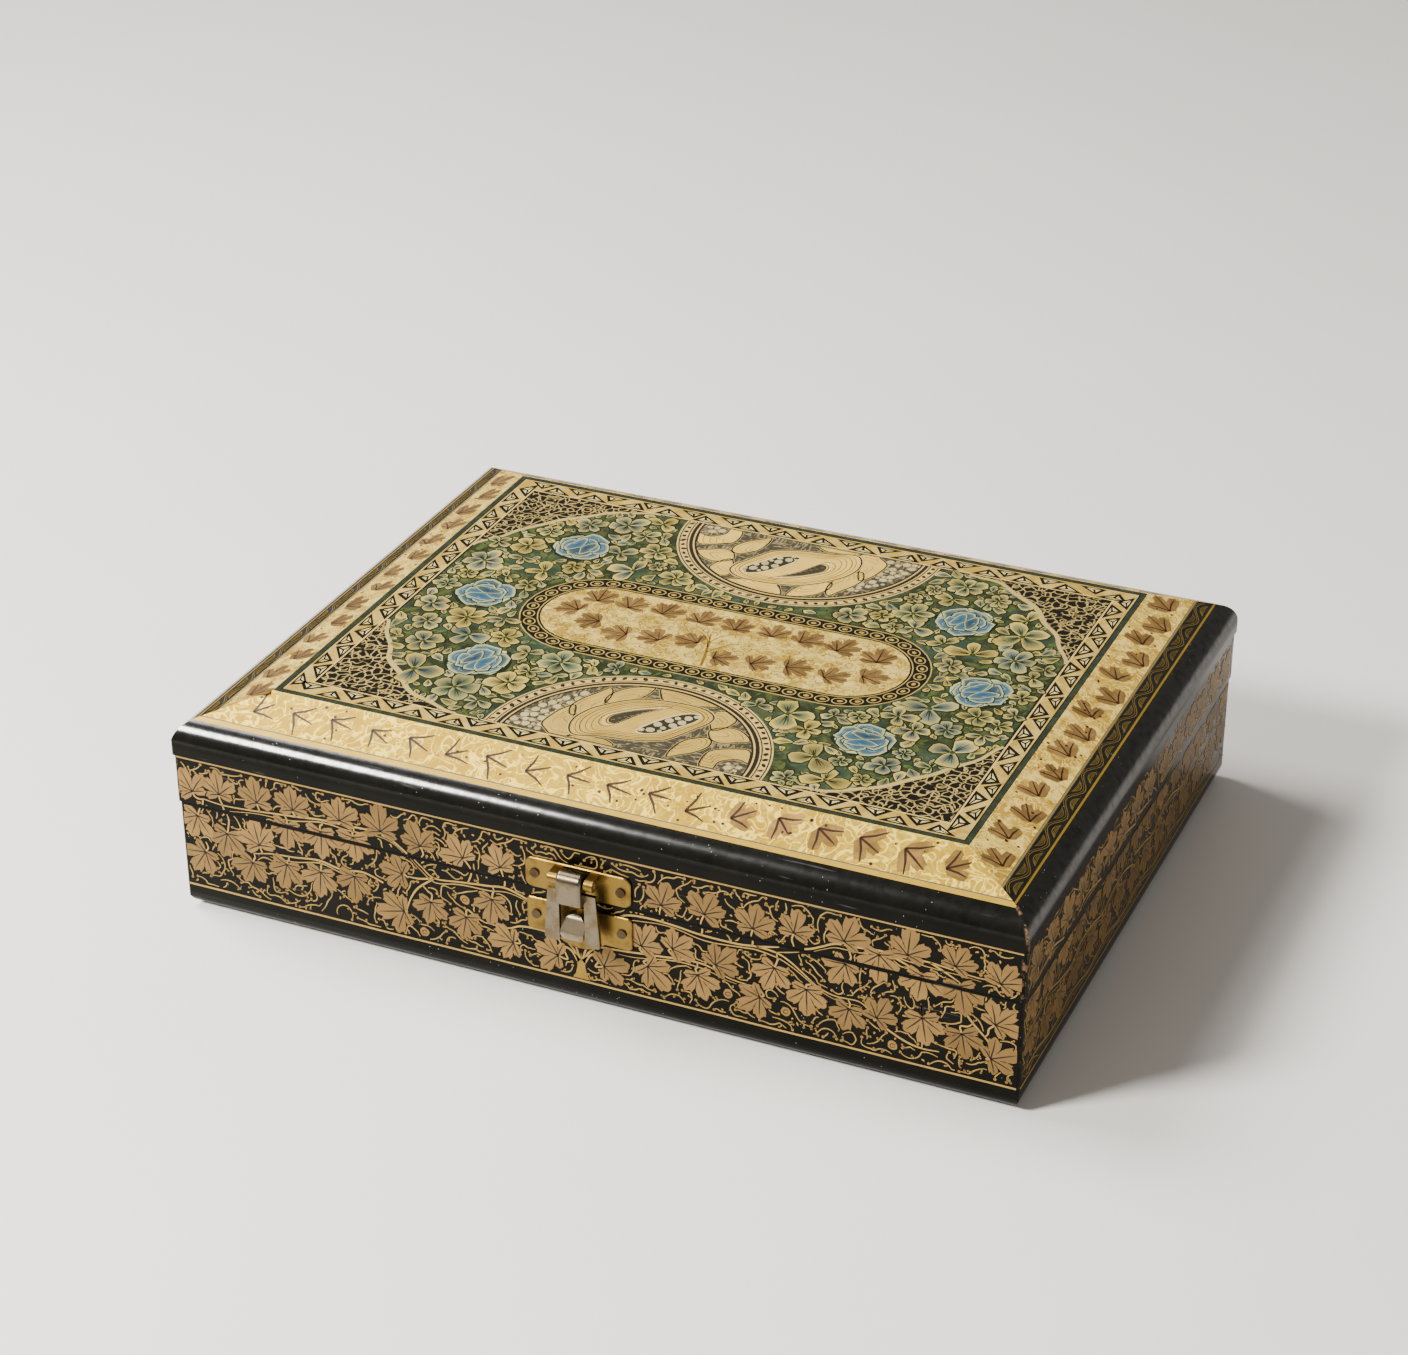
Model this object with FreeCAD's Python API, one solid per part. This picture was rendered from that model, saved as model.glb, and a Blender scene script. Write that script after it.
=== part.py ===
"""Lacquered wooden keepsake box: a boarded tray, a hinged lid with a raised top, two hinges and a fork latch.

Millimetres. +Z is up, the front faces -Y, and the origin is the middle of the face that the box stands on.
"""

import FreeCAD, Part
import math
import os

Vector = FreeCAD.Vector

# Box: overall size and boards
box_width = 250.0            # top board, left to right
box_depth = 190.0            # top board, front to back
top_overhang = 0.5           # top board past the lid frame, each side
lid_overhang = 0.4           # lid frame past the tray, each side
board_thickness = 8.0        # wall boards of tray and lid
corner_rebate = 4.0          # how deep the end boards sit in the front and back boards
corner_radius = 1.0          # eased upright corners
bottom_thickness = 7.0       # bottom board at its edge
bottom_edge_radius = 4.8     # rounded lower edge of the bottom board
tray_wall_height = 27.0      # tray boards, above the bottom board
seam_gap = 0.4               # lacquered gap between tray and lid
lid_wall_height = 15.0       # lid boards, below the top board
tongue_height = 2.5          # step of the bottom and top boards that sits inside the frames
tongue_gap = 0.2             # room round each step

# Raised top board
top_edge_height = 2.4        # upright edge below the rounded shoulder
shoulder_radius = 8.0        # rounded shoulder
top_rise = 13.6              # from the foot of the shoulder to the flat
flat_inset_x = 23.0          # edge to flat, at the left and right ends
flat_inset_y = 18.5          # edge to flat, at the front and back

# Butt hinges
hinge_end_inset = 50.0       # end of the lid to the middle of a hinge
hinge_length = 25.0
barrel_radius = 2.0
hinge_pin_radius = 0.85
running_clearance = 0.05     # turning knuckle on its pin
knuckle_gap = 0.2            # between knuckles, along the pin
leaf_thickness = 1.0
leaf_width = 6.4             # pin axis to the leaf's inner edge
axis_inset = 0.8             # pin axis in from the tray's back face
mortise_gap = 0.15           # leaf and barrel in their recesses
barrel_room = 0.3            # recess round the barrel
stop_bevel_angle = 54.0      # bevel of each back edge, which stops the open lid
screw_spacing = 16.0         # two screws in each leaf
screw_inset = 3.9            # pin axis to the screws
screw_shank_radius = 0.9
screw_head_radius = 1.8
screw_length = 9.0

# Fork latch on the front
plate_width = 31.0
plate_thickness = 0.8
plate_edge_chamfer = 0.25    # front edges of both plates
lid_plate_corner_radius = 2.2
lid_plate_height = 9.2
lid_plate_margin = 0.3       # lower edge of the lid frame to the lid plate
tray_plate_height = 10.0
tray_plate_corner_radius = 1.2
tray_plate_drop = 2.8        # upper edge of the tray to the tray plate
lobe_width = 15.0            # rounded lobe below the tray plate
lobe_height = 3.0
pivot_standoff = 4.1         # lid frame's front face to the pivot axis
pivot_height = 6.9           # lower edge of the lid plate to the pivot axis
pivot_pin_radius = 0.8
ear_radius = 1.7             # rolled ears of the lid plate
ear_length = 2.6
ear_web = 1.4                # thickness of the web that carries an ear
fork_barrel_radius = 2.9
fork_barrel_width = 7.4
fork_head_ease = 0.8         # rounding of the ends of the fork's head
fork_sheet = 1.1             # thickness of the fork's sheet
fork_end_gap = 0.25          # fork barrel to each ear
fork_shoulder_drop = 3.2     # pivot axis to the top of the fork's cross strip
fork_strip_height = 2.7      # cross strip above the window
fork_window_gap = 0.3        # fork leg to the stud, each side
fork_leg_width = 3.3
fork_leg_flare = 1.2         # how much wider each leg is at its tip
fork_length = 19.2           # pivot axis to the leg tips
fork_tip_radius = 0.8
stud_width = 6.8
stud_height = 7.6
stud_reach = 4.6             # how far the stud stands out of the tray plate
stud_corner_radius = 2.9     # corners seen from the front
stud_nose_radius = 1.7       # rounding of the stud's face, seen from the side
nail_inset = 2.9             # plate end to the nail
nail_shank_radius = 0.6
nail_head_radius = 1.35
nail_head_height = 0.45
nail_length = 6.5
nail_hole_clearance = 0.1    # nail in its plate

# Levels and faces that follow from the sizes
tray_half_x = box_width / 2 - top_overhang - lid_overhang
tray_half_y = box_depth / 2 - top_overhang - lid_overhang
lid_half_x = box_width / 2 - top_overhang
lid_half_y = box_depth / 2 - top_overhang
tray_bottom_z = bottom_thickness
tray_top_z = tray_bottom_z + tray_wall_height
lid_bottom_z = tray_top_z + seam_gap
lid_top_z = lid_bottom_z + lid_wall_height
shoulder_foot_z = lid_top_z + top_edge_height
flat_z = shoulder_foot_z + top_rise

hinge_axis_y = tray_half_y - axis_inset
hinge_axis_z = (tray_top_z + lid_bottom_z) / 2
knuckle_length = (hinge_length - 2 * knuckle_gap) / 3
hinge_x = box_width / 2 - hinge_end_inset
hinge_centres = (("left", -hinge_x), ("right", hinge_x))

lid_plate_z = lid_bottom_z + lid_plate_margin
tray_plate_z = tray_top_z - tray_plate_drop - tray_plate_height
lid_plate_face = -lid_half_y - plate_thickness
tray_plate_face = -tray_half_y - plate_thickness
pivot_y = -lid_half_y - pivot_standoff
pivot_z = lid_plate_z + pivot_height
stud_z = tray_plate_z + tray_plate_height / 2
nail_x = plate_width / 2 - nail_inset

OVERCUT = 1.0                # how far a cutting tool runs past the face that it cuts


def block(x0, x1, y0, y1, z0, z1):
    """A box between two corners."""
    return Part.makeBox(x1 - x0, y1 - y0, z1 - z0, Vector(x0, y0, z0))


def rod(start, direction, radius, length):
    """A round rod."""
    return Part.makeCylinder(radius, length, start, direction)


def rod_along_x(x0, x1, y, z, radius):
    """A round rod parallel to the hinge pins."""
    return rod(Vector(x0, y, z), Vector(1, 0, 0), radius, x1 - x0)


def prism(points, along):
    """A straight-sided outline, pushed along a vector."""
    return Part.Face(Part.makePolygon([*points, points[0]])).extrude(along)


def joined(first, *others):
    """Solids fused into one, with the faces between them removed."""
    return first.fuse(list(others)).removeSplitter()


def eased_block(half_x, half_y, z0, z1):
    """A block about the Z axis with its four upright corners eased."""
    body = block(-half_x, half_x, -half_y, half_y, z0, z1)
    upright = [e for e in body.Edges if abs(e.tangentAt(e.FirstParameter).z) > 0.99]
    return body.makeFillet(corner_radius, upright)


def save(node, shape):
    """Writes one named piece."""
    shape.exportStep(os.path.join("parts", node + ".step"))


# Tray and lid boards

def frame_boards(half_x, half_y, z0, z1):
    """The four boards of a frame. The end boards sit in rebates of the front and back boards."""
    shell = eased_block(half_x, half_y, z0, z1)
    inner_x = half_x - board_thickness
    inner_y = half_y - board_thickness
    rebate_y = half_y - corner_rebate
    long_board = joined(
        block(-half_x, half_x, -half_y, -rebate_y, z0, z1),
        block(-inner_x, inner_x, -half_y, -inner_y, z0, z1),
    )
    end_board = block(-half_x, -inner_x, -rebate_y, rebate_y, z0, z1)
    half_turn = (Vector(0, 0, 0), Vector(0, 0, 1), 180)
    boards = {}
    boards["front"] = long_board.common(shell)
    boards["left"] = end_board.common(shell)
    boards["back"] = boards["front"].copy()
    boards["back"].rotate(*half_turn)
    boards["right"] = boards["left"].copy()
    boards["right"].rotate(*half_turn)
    return boards


def stop_bevel(z_sign):
    """Wedge cut off a back edge at the seam. The two bevels meet when the lid is fully open."""
    reach = axis_inset + lid_overhang + top_overhang + OVERCUT
    slope = math.tan(math.radians(stop_bevel_angle))
    x0 = -box_width / 2
    corners = (
        Vector(x0, hinge_axis_y, hinge_axis_z),
        Vector(x0, hinge_axis_y + reach, hinge_axis_z + z_sign * reach * slope),
        Vector(x0, hinge_axis_y + reach, hinge_axis_z),
    )
    return prism(corners, Vector(box_width, 0, 0))


def hinge_recess(centre_x, z_sign):
    """Room for one leaf and the barrel in a back board."""
    half = hinge_length / 2 + mortise_gap
    depth = seam_gap / 2 + leaf_thickness
    low, high = sorted((hinge_axis_z, hinge_axis_z + z_sign * depth))
    seat = block(
        centre_x - half, centre_x + half,
        hinge_axis_y - leaf_width - mortise_gap, hinge_axis_y,
        low, high,
    )
    barrel = rod_along_x(
        centre_x - half, centre_x + half, hinge_axis_y, hinge_axis_z, barrel_radius + barrel_room
    )
    return joined(seat, barrel)


def screw_places(centre_x):
    """The two screws of a leaf, as points on the seam's mid plane."""
    for side in (-1, 1):
        yield Vector(centre_x + side * screw_spacing / 2, hinge_axis_y - screw_inset, hinge_axis_z)


def screw_pilots(z_sign):
    """Holes for all the screws of the tray leaves or of the lid leaves."""
    length = seam_gap / 2 + screw_length
    return [
        rod(place, Vector(0, 0, z_sign), screw_shank_radius, length)
        for _, centre_x in hinge_centres
        for place in screw_places(centre_x)
    ]


def back_board(plain, z_sign):
    """A back board with its bevel, its hinge recesses and its screw holes."""
    cuts = [stop_bevel(z_sign), *screw_pilots(z_sign)]
    cuts += [hinge_recess(centre_x, z_sign) for _, centre_x in hinge_centres]
    return plain.cut(cuts)


def front_board(plain, face_y, height):
    """A front board with the holes of its two latch nails."""
    start = face_y - OVERCUT
    length = nail_length - plate_thickness + OVERCUT
    holes = [
        rod(Vector(side * nail_x, start, height), Vector(0, 1, 0), nail_shank_radius, length)
        for side in (-1, 1)
    ]
    return plain.cut(holes)


def rounded_strip(half, radius, z0, z1):
    """Section of the bottom board across its width: square above, rounded at its two lower corners."""
    turn = radius * math.sqrt(0.5)
    outline = [
        Part.LineSegment(Vector(half, 0, z0 + radius), Vector(half, 0, z1)),
        Part.LineSegment(Vector(half, 0, z1), Vector(-half, 0, z1)),
        Part.LineSegment(Vector(-half, 0, z1), Vector(-half, 0, z0 + radius)),
        Part.Arc(
            Vector(-half, 0, z0 + radius),
            Vector(-half + radius - turn, 0, z0 + radius - turn),
            Vector(-half + radius, 0, z0),
        ),
        Part.LineSegment(Vector(-half + radius, 0, z0), Vector(half - radius, 0, z0)),
        Part.Arc(
            Vector(half - radius, 0, z0),
            Vector(half - radius + turn, 0, z0 + radius - turn),
            Vector(half, 0, z0 + radius),
        ),
    ]
    return Part.Face(Part.Wire([piece.toShape() for piece in outline]))


def crown_section(half, inset):
    """Section of the top board: upright edge, rounded shoulder, straight slope and flat."""
    run = inset - shoulder_radius
    slope_length = math.sqrt(run ** 2 + top_rise ** 2 - shoulder_radius ** 2)
    slope = math.atan2(top_rise, run) - math.atan2(shoulder_radius, slope_length)

    def on_shoulder(angle, side):
        """Point of the shoulder's arc, with the angle measured up from its foot."""
        x = half - shoulder_radius * (1 - math.cos(angle))
        return Vector(side * x, 0, shoulder_foot_z + shoulder_radius * math.sin(angle))

    sweep = math.pi / 2 - slope
    outline = [Part.LineSegment(Vector(-half, 0, lid_top_z), Vector(half, 0, lid_top_z))]
    for side in (1, -1):
        flat_edge = Vector(side * (half - inset), 0, flat_z)
        outline += [
            Part.LineSegment(Vector(side * half, 0, lid_top_z), on_shoulder(0, side)),
            Part.Arc(on_shoulder(0, side), on_shoulder(sweep / 2, side), on_shoulder(sweep, side)),
            Part.LineSegment(on_shoulder(sweep, side), flat_edge),
        ]
    outline.append(Part.LineSegment(Vector(half - inset, 0, flat_z), Vector(-(half - inset), 0, flat_z)))
    edges = Part.__sortEdges__([piece.toShape() for piece in outline])
    return Part.Face(Part.Wire(edges))


def crossed(section_x, section_y):
    """Solid whose outline is one section seen from the front and the other seen from the side."""
    seen_from_front = section_x.copy()
    seen_from_front.translate(Vector(0, -box_depth, 0))
    seen_from_front = seen_from_front.extrude(Vector(0, 2 * box_depth, 0))
    seen_from_side = section_y.copy()
    seen_from_side.rotate(Vector(0, 0, 0), Vector(0, 0, 1), 90)
    seen_from_side.translate(Vector(-box_width, 0, 0))
    seen_from_side = seen_from_side.extrude(Vector(2 * box_width, 0, 0))
    return seen_from_front.common(seen_from_side)


def tongue(half_x, half_y, z0, z1):
    """Step that locates a board inside a frame."""
    inner_x = half_x - board_thickness - tongue_gap
    inner_y = half_y - board_thickness - tongue_gap
    return block(-inner_x, inner_x, -inner_y, inner_y, z0, z1)


def bottom_board():
    """Bottom board with an eased lower edge and a step inside the tray's walls."""
    edge = crossed(
        rounded_strip(tray_half_x, bottom_edge_radius, 0, tray_bottom_z),
        rounded_strip(tray_half_y, bottom_edge_radius, 0, tray_bottom_z),
    )
    plate = edge.common(eased_block(tray_half_x, tray_half_y, 0, tray_bottom_z))
    step = tongue(tray_half_x, tray_half_y, tray_bottom_z, tray_bottom_z + tongue_height)
    return joined(plate, step)


def top_board():
    """Raised top board: flat field, four slopes that meet at hips, and a rounded shoulder."""
    crown = crossed(
        crown_section(box_width / 2, flat_inset_x),
        crown_section(box_depth / 2, flat_inset_y),
    )
    crown = crown.common(eased_block(box_width / 2, box_depth / 2, lid_top_z, flat_z))
    step = tongue(lid_half_x, lid_half_y, lid_top_z - tongue_height, lid_top_z)
    return joined(crown, step)


# Hinges

def knuckle_spans(centre_x):
    """(owner, start, end) of the three knuckles along the pin."""
    start = centre_x - hinge_length / 2
    for owner in ("tray", "lid", "tray"):
        yield owner, start, start + knuckle_length
        start += knuckle_length + knuckle_gap


def hinge_leaf(centre_x, owner, z_sign):
    """One leaf with its rolled knuckles, its bore and its countersunk holes."""
    inner, outer = sorted((z_sign * seam_gap / 2, z_sign * (seam_gap / 2 + leaf_thickness)))
    half = hinge_length / 2
    leaf = block(
        centre_x - half, centre_x + half,
        hinge_axis_y - leaf_width, hinge_axis_y,
        hinge_axis_z + inner, hinge_axis_z + outer,
    )
    bore = hinge_pin_radius + (running_clearance if owner == "lid" else 0.0)
    for knuckle_owner, x0, x1 in knuckle_spans(centre_x):
        if knuckle_owner == owner:
            leaf = leaf.fuse(rod_along_x(x0, x1, hinge_axis_y, hinge_axis_z, barrel_radius))
        else:
            room = barrel_radius + knuckle_gap
            leaf = leaf.cut(rod_along_x(x0 - knuckle_gap, x1 + knuckle_gap, hinge_axis_y, hinge_axis_z, room))
    leaf = leaf.cut(rod_along_x(centre_x - half, centre_x + half, hinge_axis_y, hinge_axis_z, bore))
    leaf = leaf.removeSplitter()
    return leaf.cut([screw(place, z_sign) for place in screw_places(centre_x)])


def screw(place, z_sign):
    """A countersunk screw. Its head is flush with the leaf's face at the seam."""
    into_wood = Vector(0, 0, z_sign)
    head_top = place + into_wood * (seam_gap / 2)
    head = Part.makeCone(screw_head_radius, screw_shank_radius, leaf_thickness, head_top, into_wood)
    return joined(head, rod(head_top, into_wood, screw_shank_radius, screw_length))


def hinge_screws(z_sign):
    """All the screws of the tray leaves or of the lid leaves."""
    return Part.makeCompound([
        screw(place, z_sign)
        for _, centre_x in hinge_centres
        for place in screw_places(centre_x)
    ])


def hinge_pin(centre_x):
    """A hinge pin, flush with the barrel's ends."""
    return rod_along_x(
        centre_x - hinge_length / 2, centre_x + hinge_length / 2, hinge_axis_y, hinge_axis_z, hinge_pin_radius
    )


# Latch

def rounded_plate(face_y, z0, height, radius):
    """A latch plate on a front board, with rounded corners."""
    half = plate_width / 2
    plate = block(-half, half, face_y - plate_thickness, face_y, z0, z0 + height)
    corners = [e for e in plate.Edges if abs(e.tangentAt(e.FirstParameter).y) > 0.99]
    return plate.makeFillet(radius, corners)


def front_eased(plate, front_y):
    """A latch plate with a small chamfer all round its front face."""
    rim = [e for e in plate.Edges if e.BoundBox.YMax < front_y + plate_thickness / 4]
    return plate.makeChamfer(plate_edge_chamfer, rim)


def nail_holes(face_y, height):
    """Holes for the two nails of a plate."""
    radius = nail_shank_radius + nail_hole_clearance
    length = plate_thickness + 2 * OVERCUT
    return [
        rod(Vector(side * nail_x, face_y + OVERCUT, height), Vector(0, -1, 0), radius, length)
        for side in (-1, 1)
    ]


def ear(side):
    """A rolled ear beside the fork's barrel, with the web that carries it."""
    start = fork_barrel_width / 2 + fork_end_gap
    x0, x1 = sorted((side * start, side * (start + ear_length)))
    roll = rod_along_x(x0, x1, pivot_y, pivot_z, ear_radius)
    web = block(x0, x1, pivot_y, lid_plate_face, pivot_z + ear_radius - ear_web, pivot_z + ear_radius)
    return [roll, web]


def lid_plate():
    """Brass plate on the lid, with two ears for the pivot pin."""
    plate = rounded_plate(-lid_half_y, lid_plate_z, lid_plate_height, lid_plate_corner_radius)
    plate = joined(front_eased(plate, lid_plate_face), *ear(-1), *ear(1))
    half = plate_width / 2
    bore = rod_along_x(-half, half, pivot_y, pivot_z, pivot_pin_radius)
    return plate.cut([bore, *nail_holes(-lid_half_y, lid_plate_z + lid_plate_height / 2)])


def tray_plate():
    """Brass plate on the tray, with a rounded lobe below the stud."""
    plate = rounded_plate(-tray_half_y, tray_plate_z, tray_plate_height, tray_plate_corner_radius)
    left = Vector(-lobe_width / 2, tray_plate_face, tray_plate_z)
    right = Vector(lobe_width / 2, tray_plate_face, tray_plate_z)
    lowest = Vector(0, tray_plate_face, tray_plate_z - lobe_height)
    lobe_outline = [Part.Arc(left, lowest, right), Part.LineSegment(right, left)]
    lobe_face = Part.Face(Part.Wire([piece.toShape() for piece in lobe_outline]))
    plate = joined(plate, lobe_face.extrude(Vector(0, plate_thickness, 0)))
    plate = front_eased(plate, tray_plate_face)
    return plate.cut(nail_holes(-tray_half_y, stud_z))


def stud():
    """Keeper that the fork's legs straddle: a nosed block, brazed to the tray plate."""
    half = stud_width / 2
    low, high = stud_z - stud_height / 2, stud_z + stud_height / 2
    tip = tray_plate_face - stud_reach
    seen_from_front = block(-half, half, tip, tray_plate_face, low, high)
    corners = [e for e in seen_from_front.Edges if abs(e.tangentAt(e.FirstParameter).y) > 0.99]
    seen_from_front = seen_from_front.makeFillet(stud_corner_radius, corners)
    outline = (
        Vector(-half, tray_plate_face, low),
        Vector(-half, tip + stud_reach / 8, low),
        Vector(-half, tip, stud_z - stud_height / 8),
        Vector(-half, tray_plate_face - stud_reach / 2, high),
        Vector(-half, tray_plate_face, high),
    )
    seen_from_side = prism(outline, Vector(stud_width, 0, 0))
    proud = [
        e for e in seen_from_side.Edges
        if abs(e.tangentAt(e.FirstParameter).x) > 0.99 and e.CenterOfMass.y < tray_plate_face - stud_reach / 4
    ]
    return seen_from_front.common(seen_from_side.makeFillet(stud_nose_radius, proud))


def fork():
    """Swinging fork: a head rolled round the pivot pin, a cross strip and two legs that straddle the stud."""
    sheet_front = pivot_y - fork_sheet / 2
    neck = fork_barrel_width / 2
    inner = stud_width / 2 + fork_window_gap
    outer = inner + fork_leg_width
    tip = outer + fork_leg_flare
    shoulder = pivot_z - fork_shoulder_drop
    window_top = shoulder - fork_strip_height
    end = pivot_z - fork_length
    outline = (
        (neck, pivot_z), (neck, shoulder), (outer, shoulder), (tip, end), (inner, end), (inner, window_top),
        (-inner, window_top), (-inner, end), (-tip, end), (-outer, shoulder), (-neck, shoulder),
        (-neck, pivot_z),
    )
    sheet = prism([Vector(x, sheet_front, z) for x, z in outline], Vector(0, fork_sheet, 0))
    tips = [
        e for e in sheet.Edges
        if abs(e.tangentAt(e.FirstParameter).y) > 0.99 and abs(e.CenterOfMass.z - end) < fork_tip_radius
    ]
    sheet = sheet.makeFillet(fork_tip_radius, tips)
    barrel = rod_along_x(-neck, neck, pivot_y, pivot_z, fork_barrel_radius)
    ends = [e for e in barrel.Edges if abs(abs(e.CenterOfMass.x) - neck) < fork_sheet / 4]
    barrel = barrel.makeFillet(fork_head_ease, ends)
    head_front = pivot_y - fork_barrel_radius
    head = block(-neck, neck, head_front, pivot_y, window_top, pivot_z)
    sides = [
        e for e in head.Edges
        if abs(e.tangentAt(e.FirstParameter).z) > 0.99 and e.CenterOfMass.y < head_front + fork_sheet / 4
    ]
    head = head.makeFillet(fork_head_ease, sides)
    bore = rod_along_x(-neck, neck, pivot_y, pivot_z, pivot_pin_radius + running_clearance)
    return joined(barrel, head, sheet).cut(bore)


def pivot_pin():
    """Pin of the fork, flush with the outer faces of the ears."""
    half = fork_barrel_width / 2 + fork_end_gap + ear_length
    return rod_along_x(-half, half, pivot_y, pivot_z, pivot_pin_radius)


def plate_nails(face_y, height):
    """The two nails of a plate, with flat round heads."""
    nails = []
    for side in (-1, 1):
        seat = Vector(side * nail_x, face_y - plate_thickness, height)
        head = rod(seat, Vector(0, -1, 0), nail_head_radius, nail_head_height)
        nails.append(joined(head, rod(seat, Vector(0, 1, 0), nail_shank_radius, nail_length)))
    return Part.makeCompound(nails)


def main():
    os.makedirs("parts", exist_ok=True)

    tray = frame_boards(tray_half_x, tray_half_y, tray_bottom_z, tray_top_z)
    tray["back"] = back_board(tray["back"], -1)
    tray["front"] = front_board(tray["front"], -tray_half_y, stud_z)
    lid = frame_boards(lid_half_x, lid_half_y, lid_bottom_z, lid_top_z)
    lid["back"] = back_board(lid["back"], 1)
    lid["front"] = front_board(lid["front"], -lid_half_y, lid_plate_z + lid_plate_height / 2)
    for side in ("front", "back", "left", "right"):
        save(f"tray_{side}_board", tray[side])
        save(f"lid_{side}_board", lid[side])
    save("bottom_board", bottom_board())
    save("lid_top_board", top_board())

    for name, centre_x in hinge_centres:
        save(f"{name}_hinge_tray_leaf", hinge_leaf(centre_x, "tray", -1))
        save(f"{name}_hinge_lid_leaf", hinge_leaf(centre_x, "lid", 1))
        save(f"{name}_hinge_pin", hinge_pin(centre_x))
    save("hinge_tray_screws", hinge_screws(-1))
    save("hinge_lid_screws", hinge_screws(1))

    save("latch_lid_plate", lid_plate())
    save("latch_tray_plate", tray_plate())
    save("latch_fork", fork())
    save("latch_pivot_pin", pivot_pin())
    save("latch_stud", stud())
    save("latch_lid_nails", plate_nails(-lid_half_y, lid_plate_z + lid_plate_height / 2))
    save("latch_tray_nails", plate_nails(-tray_half_y, stud_z))

    print(f"lid hinge axis: y {hinge_axis_y:.3f}, z {hinge_axis_z:.3f}")
    print(f"fork pivot axis: y {pivot_y:.3f}, z {pivot_z:.3f}")


main()
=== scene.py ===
"""Dresses the keepsake box: lacquer, metalwork, and leaf and flower painting laid on in raised paint."""

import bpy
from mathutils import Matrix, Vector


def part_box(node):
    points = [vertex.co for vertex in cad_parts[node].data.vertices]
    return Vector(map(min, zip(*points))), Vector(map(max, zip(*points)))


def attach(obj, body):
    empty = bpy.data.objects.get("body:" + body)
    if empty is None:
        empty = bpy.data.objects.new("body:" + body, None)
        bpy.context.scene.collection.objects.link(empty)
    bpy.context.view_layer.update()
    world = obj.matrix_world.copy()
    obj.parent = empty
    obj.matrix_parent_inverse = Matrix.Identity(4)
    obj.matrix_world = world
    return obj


bl_info = {
    "name": "Lacquered keepsake box",
    "version": (1, 0, 0),
    "blender": (4, 5, 0),
    "location": "View3D > Sidebar > Keepsake box",
    "description": "Finishes the boards and latch of a keepsake box and lays its painted ornament on them",
    "category": "Object",
}

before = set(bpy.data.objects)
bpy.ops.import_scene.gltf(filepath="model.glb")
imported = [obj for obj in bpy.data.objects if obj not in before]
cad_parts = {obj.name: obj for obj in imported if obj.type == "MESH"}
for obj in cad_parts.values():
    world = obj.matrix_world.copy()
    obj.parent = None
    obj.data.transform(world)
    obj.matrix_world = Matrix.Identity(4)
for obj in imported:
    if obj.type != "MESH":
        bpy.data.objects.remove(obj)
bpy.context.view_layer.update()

import math
import random

import bpy
import numpy as np
from bpy.props import FloatProperty, FloatVectorProperty, PointerProperty
from mathutils import Matrix, Vector

MM = 0.001


def node_box(node):
    """Lowest and highest corner of a solid, in millimetres."""
    low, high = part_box(node)
    return [c / MM for c in low], [c / MM for c in high]


# Faces of the box that carry paint, read from the frame
_, TOP_HIGH = node_box("lid_top_board")
LID_LOW, LID_HIGH = node_box("lid_front_board")
TRAY_LOW, TRAY_HIGH = node_box("tray_front_board")
FLAT_Z = TOP_HIGH[2]
LID_FRONT, TRAY_FRONT = -LID_LOW[1], -TRAY_LOW[1]
LID_END, TRAY_END = LID_HIGH[0], TRAY_HIGH[0]

# The raised top: the flat, then each slope's angle, its length down to the rounded shoulder,
# and how much a slope widens at its hips for each millimetre down it
END_INSET, SIDE_INSET = 23.0, 18.5
FLAT_X, FLAT_Y = TOP_HIGH[0] - END_INSET, TOP_HIGH[1] - SIDE_INSET
END_SLOPE, END_SLANT = math.radians(18.9), 18.6
SIDE_SLOPE, SIDE_SLANT = math.radians(24.57), 15.2
END_HIP = 13.17 / END_SLANT
SIDE_HIP = 18.46 / SIDE_SLANT
SHOULDER_X = FLAT_X + END_SLANT * math.cos(END_SLOPE)

# Heights of the paint layers above the lacquer, in millimetres, and the depth of their roots in it
GROUND, SECOND, SHAPE, LINE, FINE = 0.03, 0.055, 0.08, 0.105, 0.13
ROOT = -0.04
# Between shapes of one layer that overlap, and from a petal's rim up to its ring
OVERLAP, PETAL_SWELLING = 0.007, 0.012
# A tint that changes nothing, a whole texture, and the extent of the panel
PLAIN = (1.0, 1.0, 1.0)
WHOLE = (0.0, 0.0, 1.0, 1.0)
PANEL = (-FLAT_X, FLAT_X, -FLAT_Y, FLAT_Y)


def polar(s, t, reach, angle):
    """The point at a distance and an angle, in radians, from another."""
    return s + reach * math.cos(angle), t + reach * math.sin(angle)


def toned(colour, *by):
    """A colour times one number, or each part of it times its own."""
    return tuple(c * k for c, k in zip(colour, by * 3))


def placed(name, data):
    """A new object in the scene."""
    thing = bpy.data.objects.new(name, data)
    bpy.context.scene.collection.objects.link(thing)
    return thing


def side_tile(side):
    """The quarter of a texture that a side of the box gets."""
    return 0.0, side / 4, 1.0, side / 4 + 0.245


class Face:
    """A flat face of the box: an origin and two directions in it, in millimetres."""

    def __init__(self, origin, across, up):
        self.origin, self.across, self.up = Vector(origin), Vector(across), Vector(up)
        self.out = self.across.cross(self.up)

    def at(self, s, t, height):
        return (self.origin + self.across * s + self.up * t + self.out * height) * MM


def turned(side):
    """Direction along a side of the box and the direction out of it. Side 0 is the front, 1 the right."""
    a = math.radians(90 * side)
    return Vector((math.cos(a), math.sin(a), 0)), Vector((math.sin(a), -math.cos(a), 0))


def wall_face(side, front, end):
    """An upright face, measured along the side and up from the floor."""
    across, out = turned(side)
    return Face(out * (end if side % 2 else front), across, (0, 0, 1))


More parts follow.
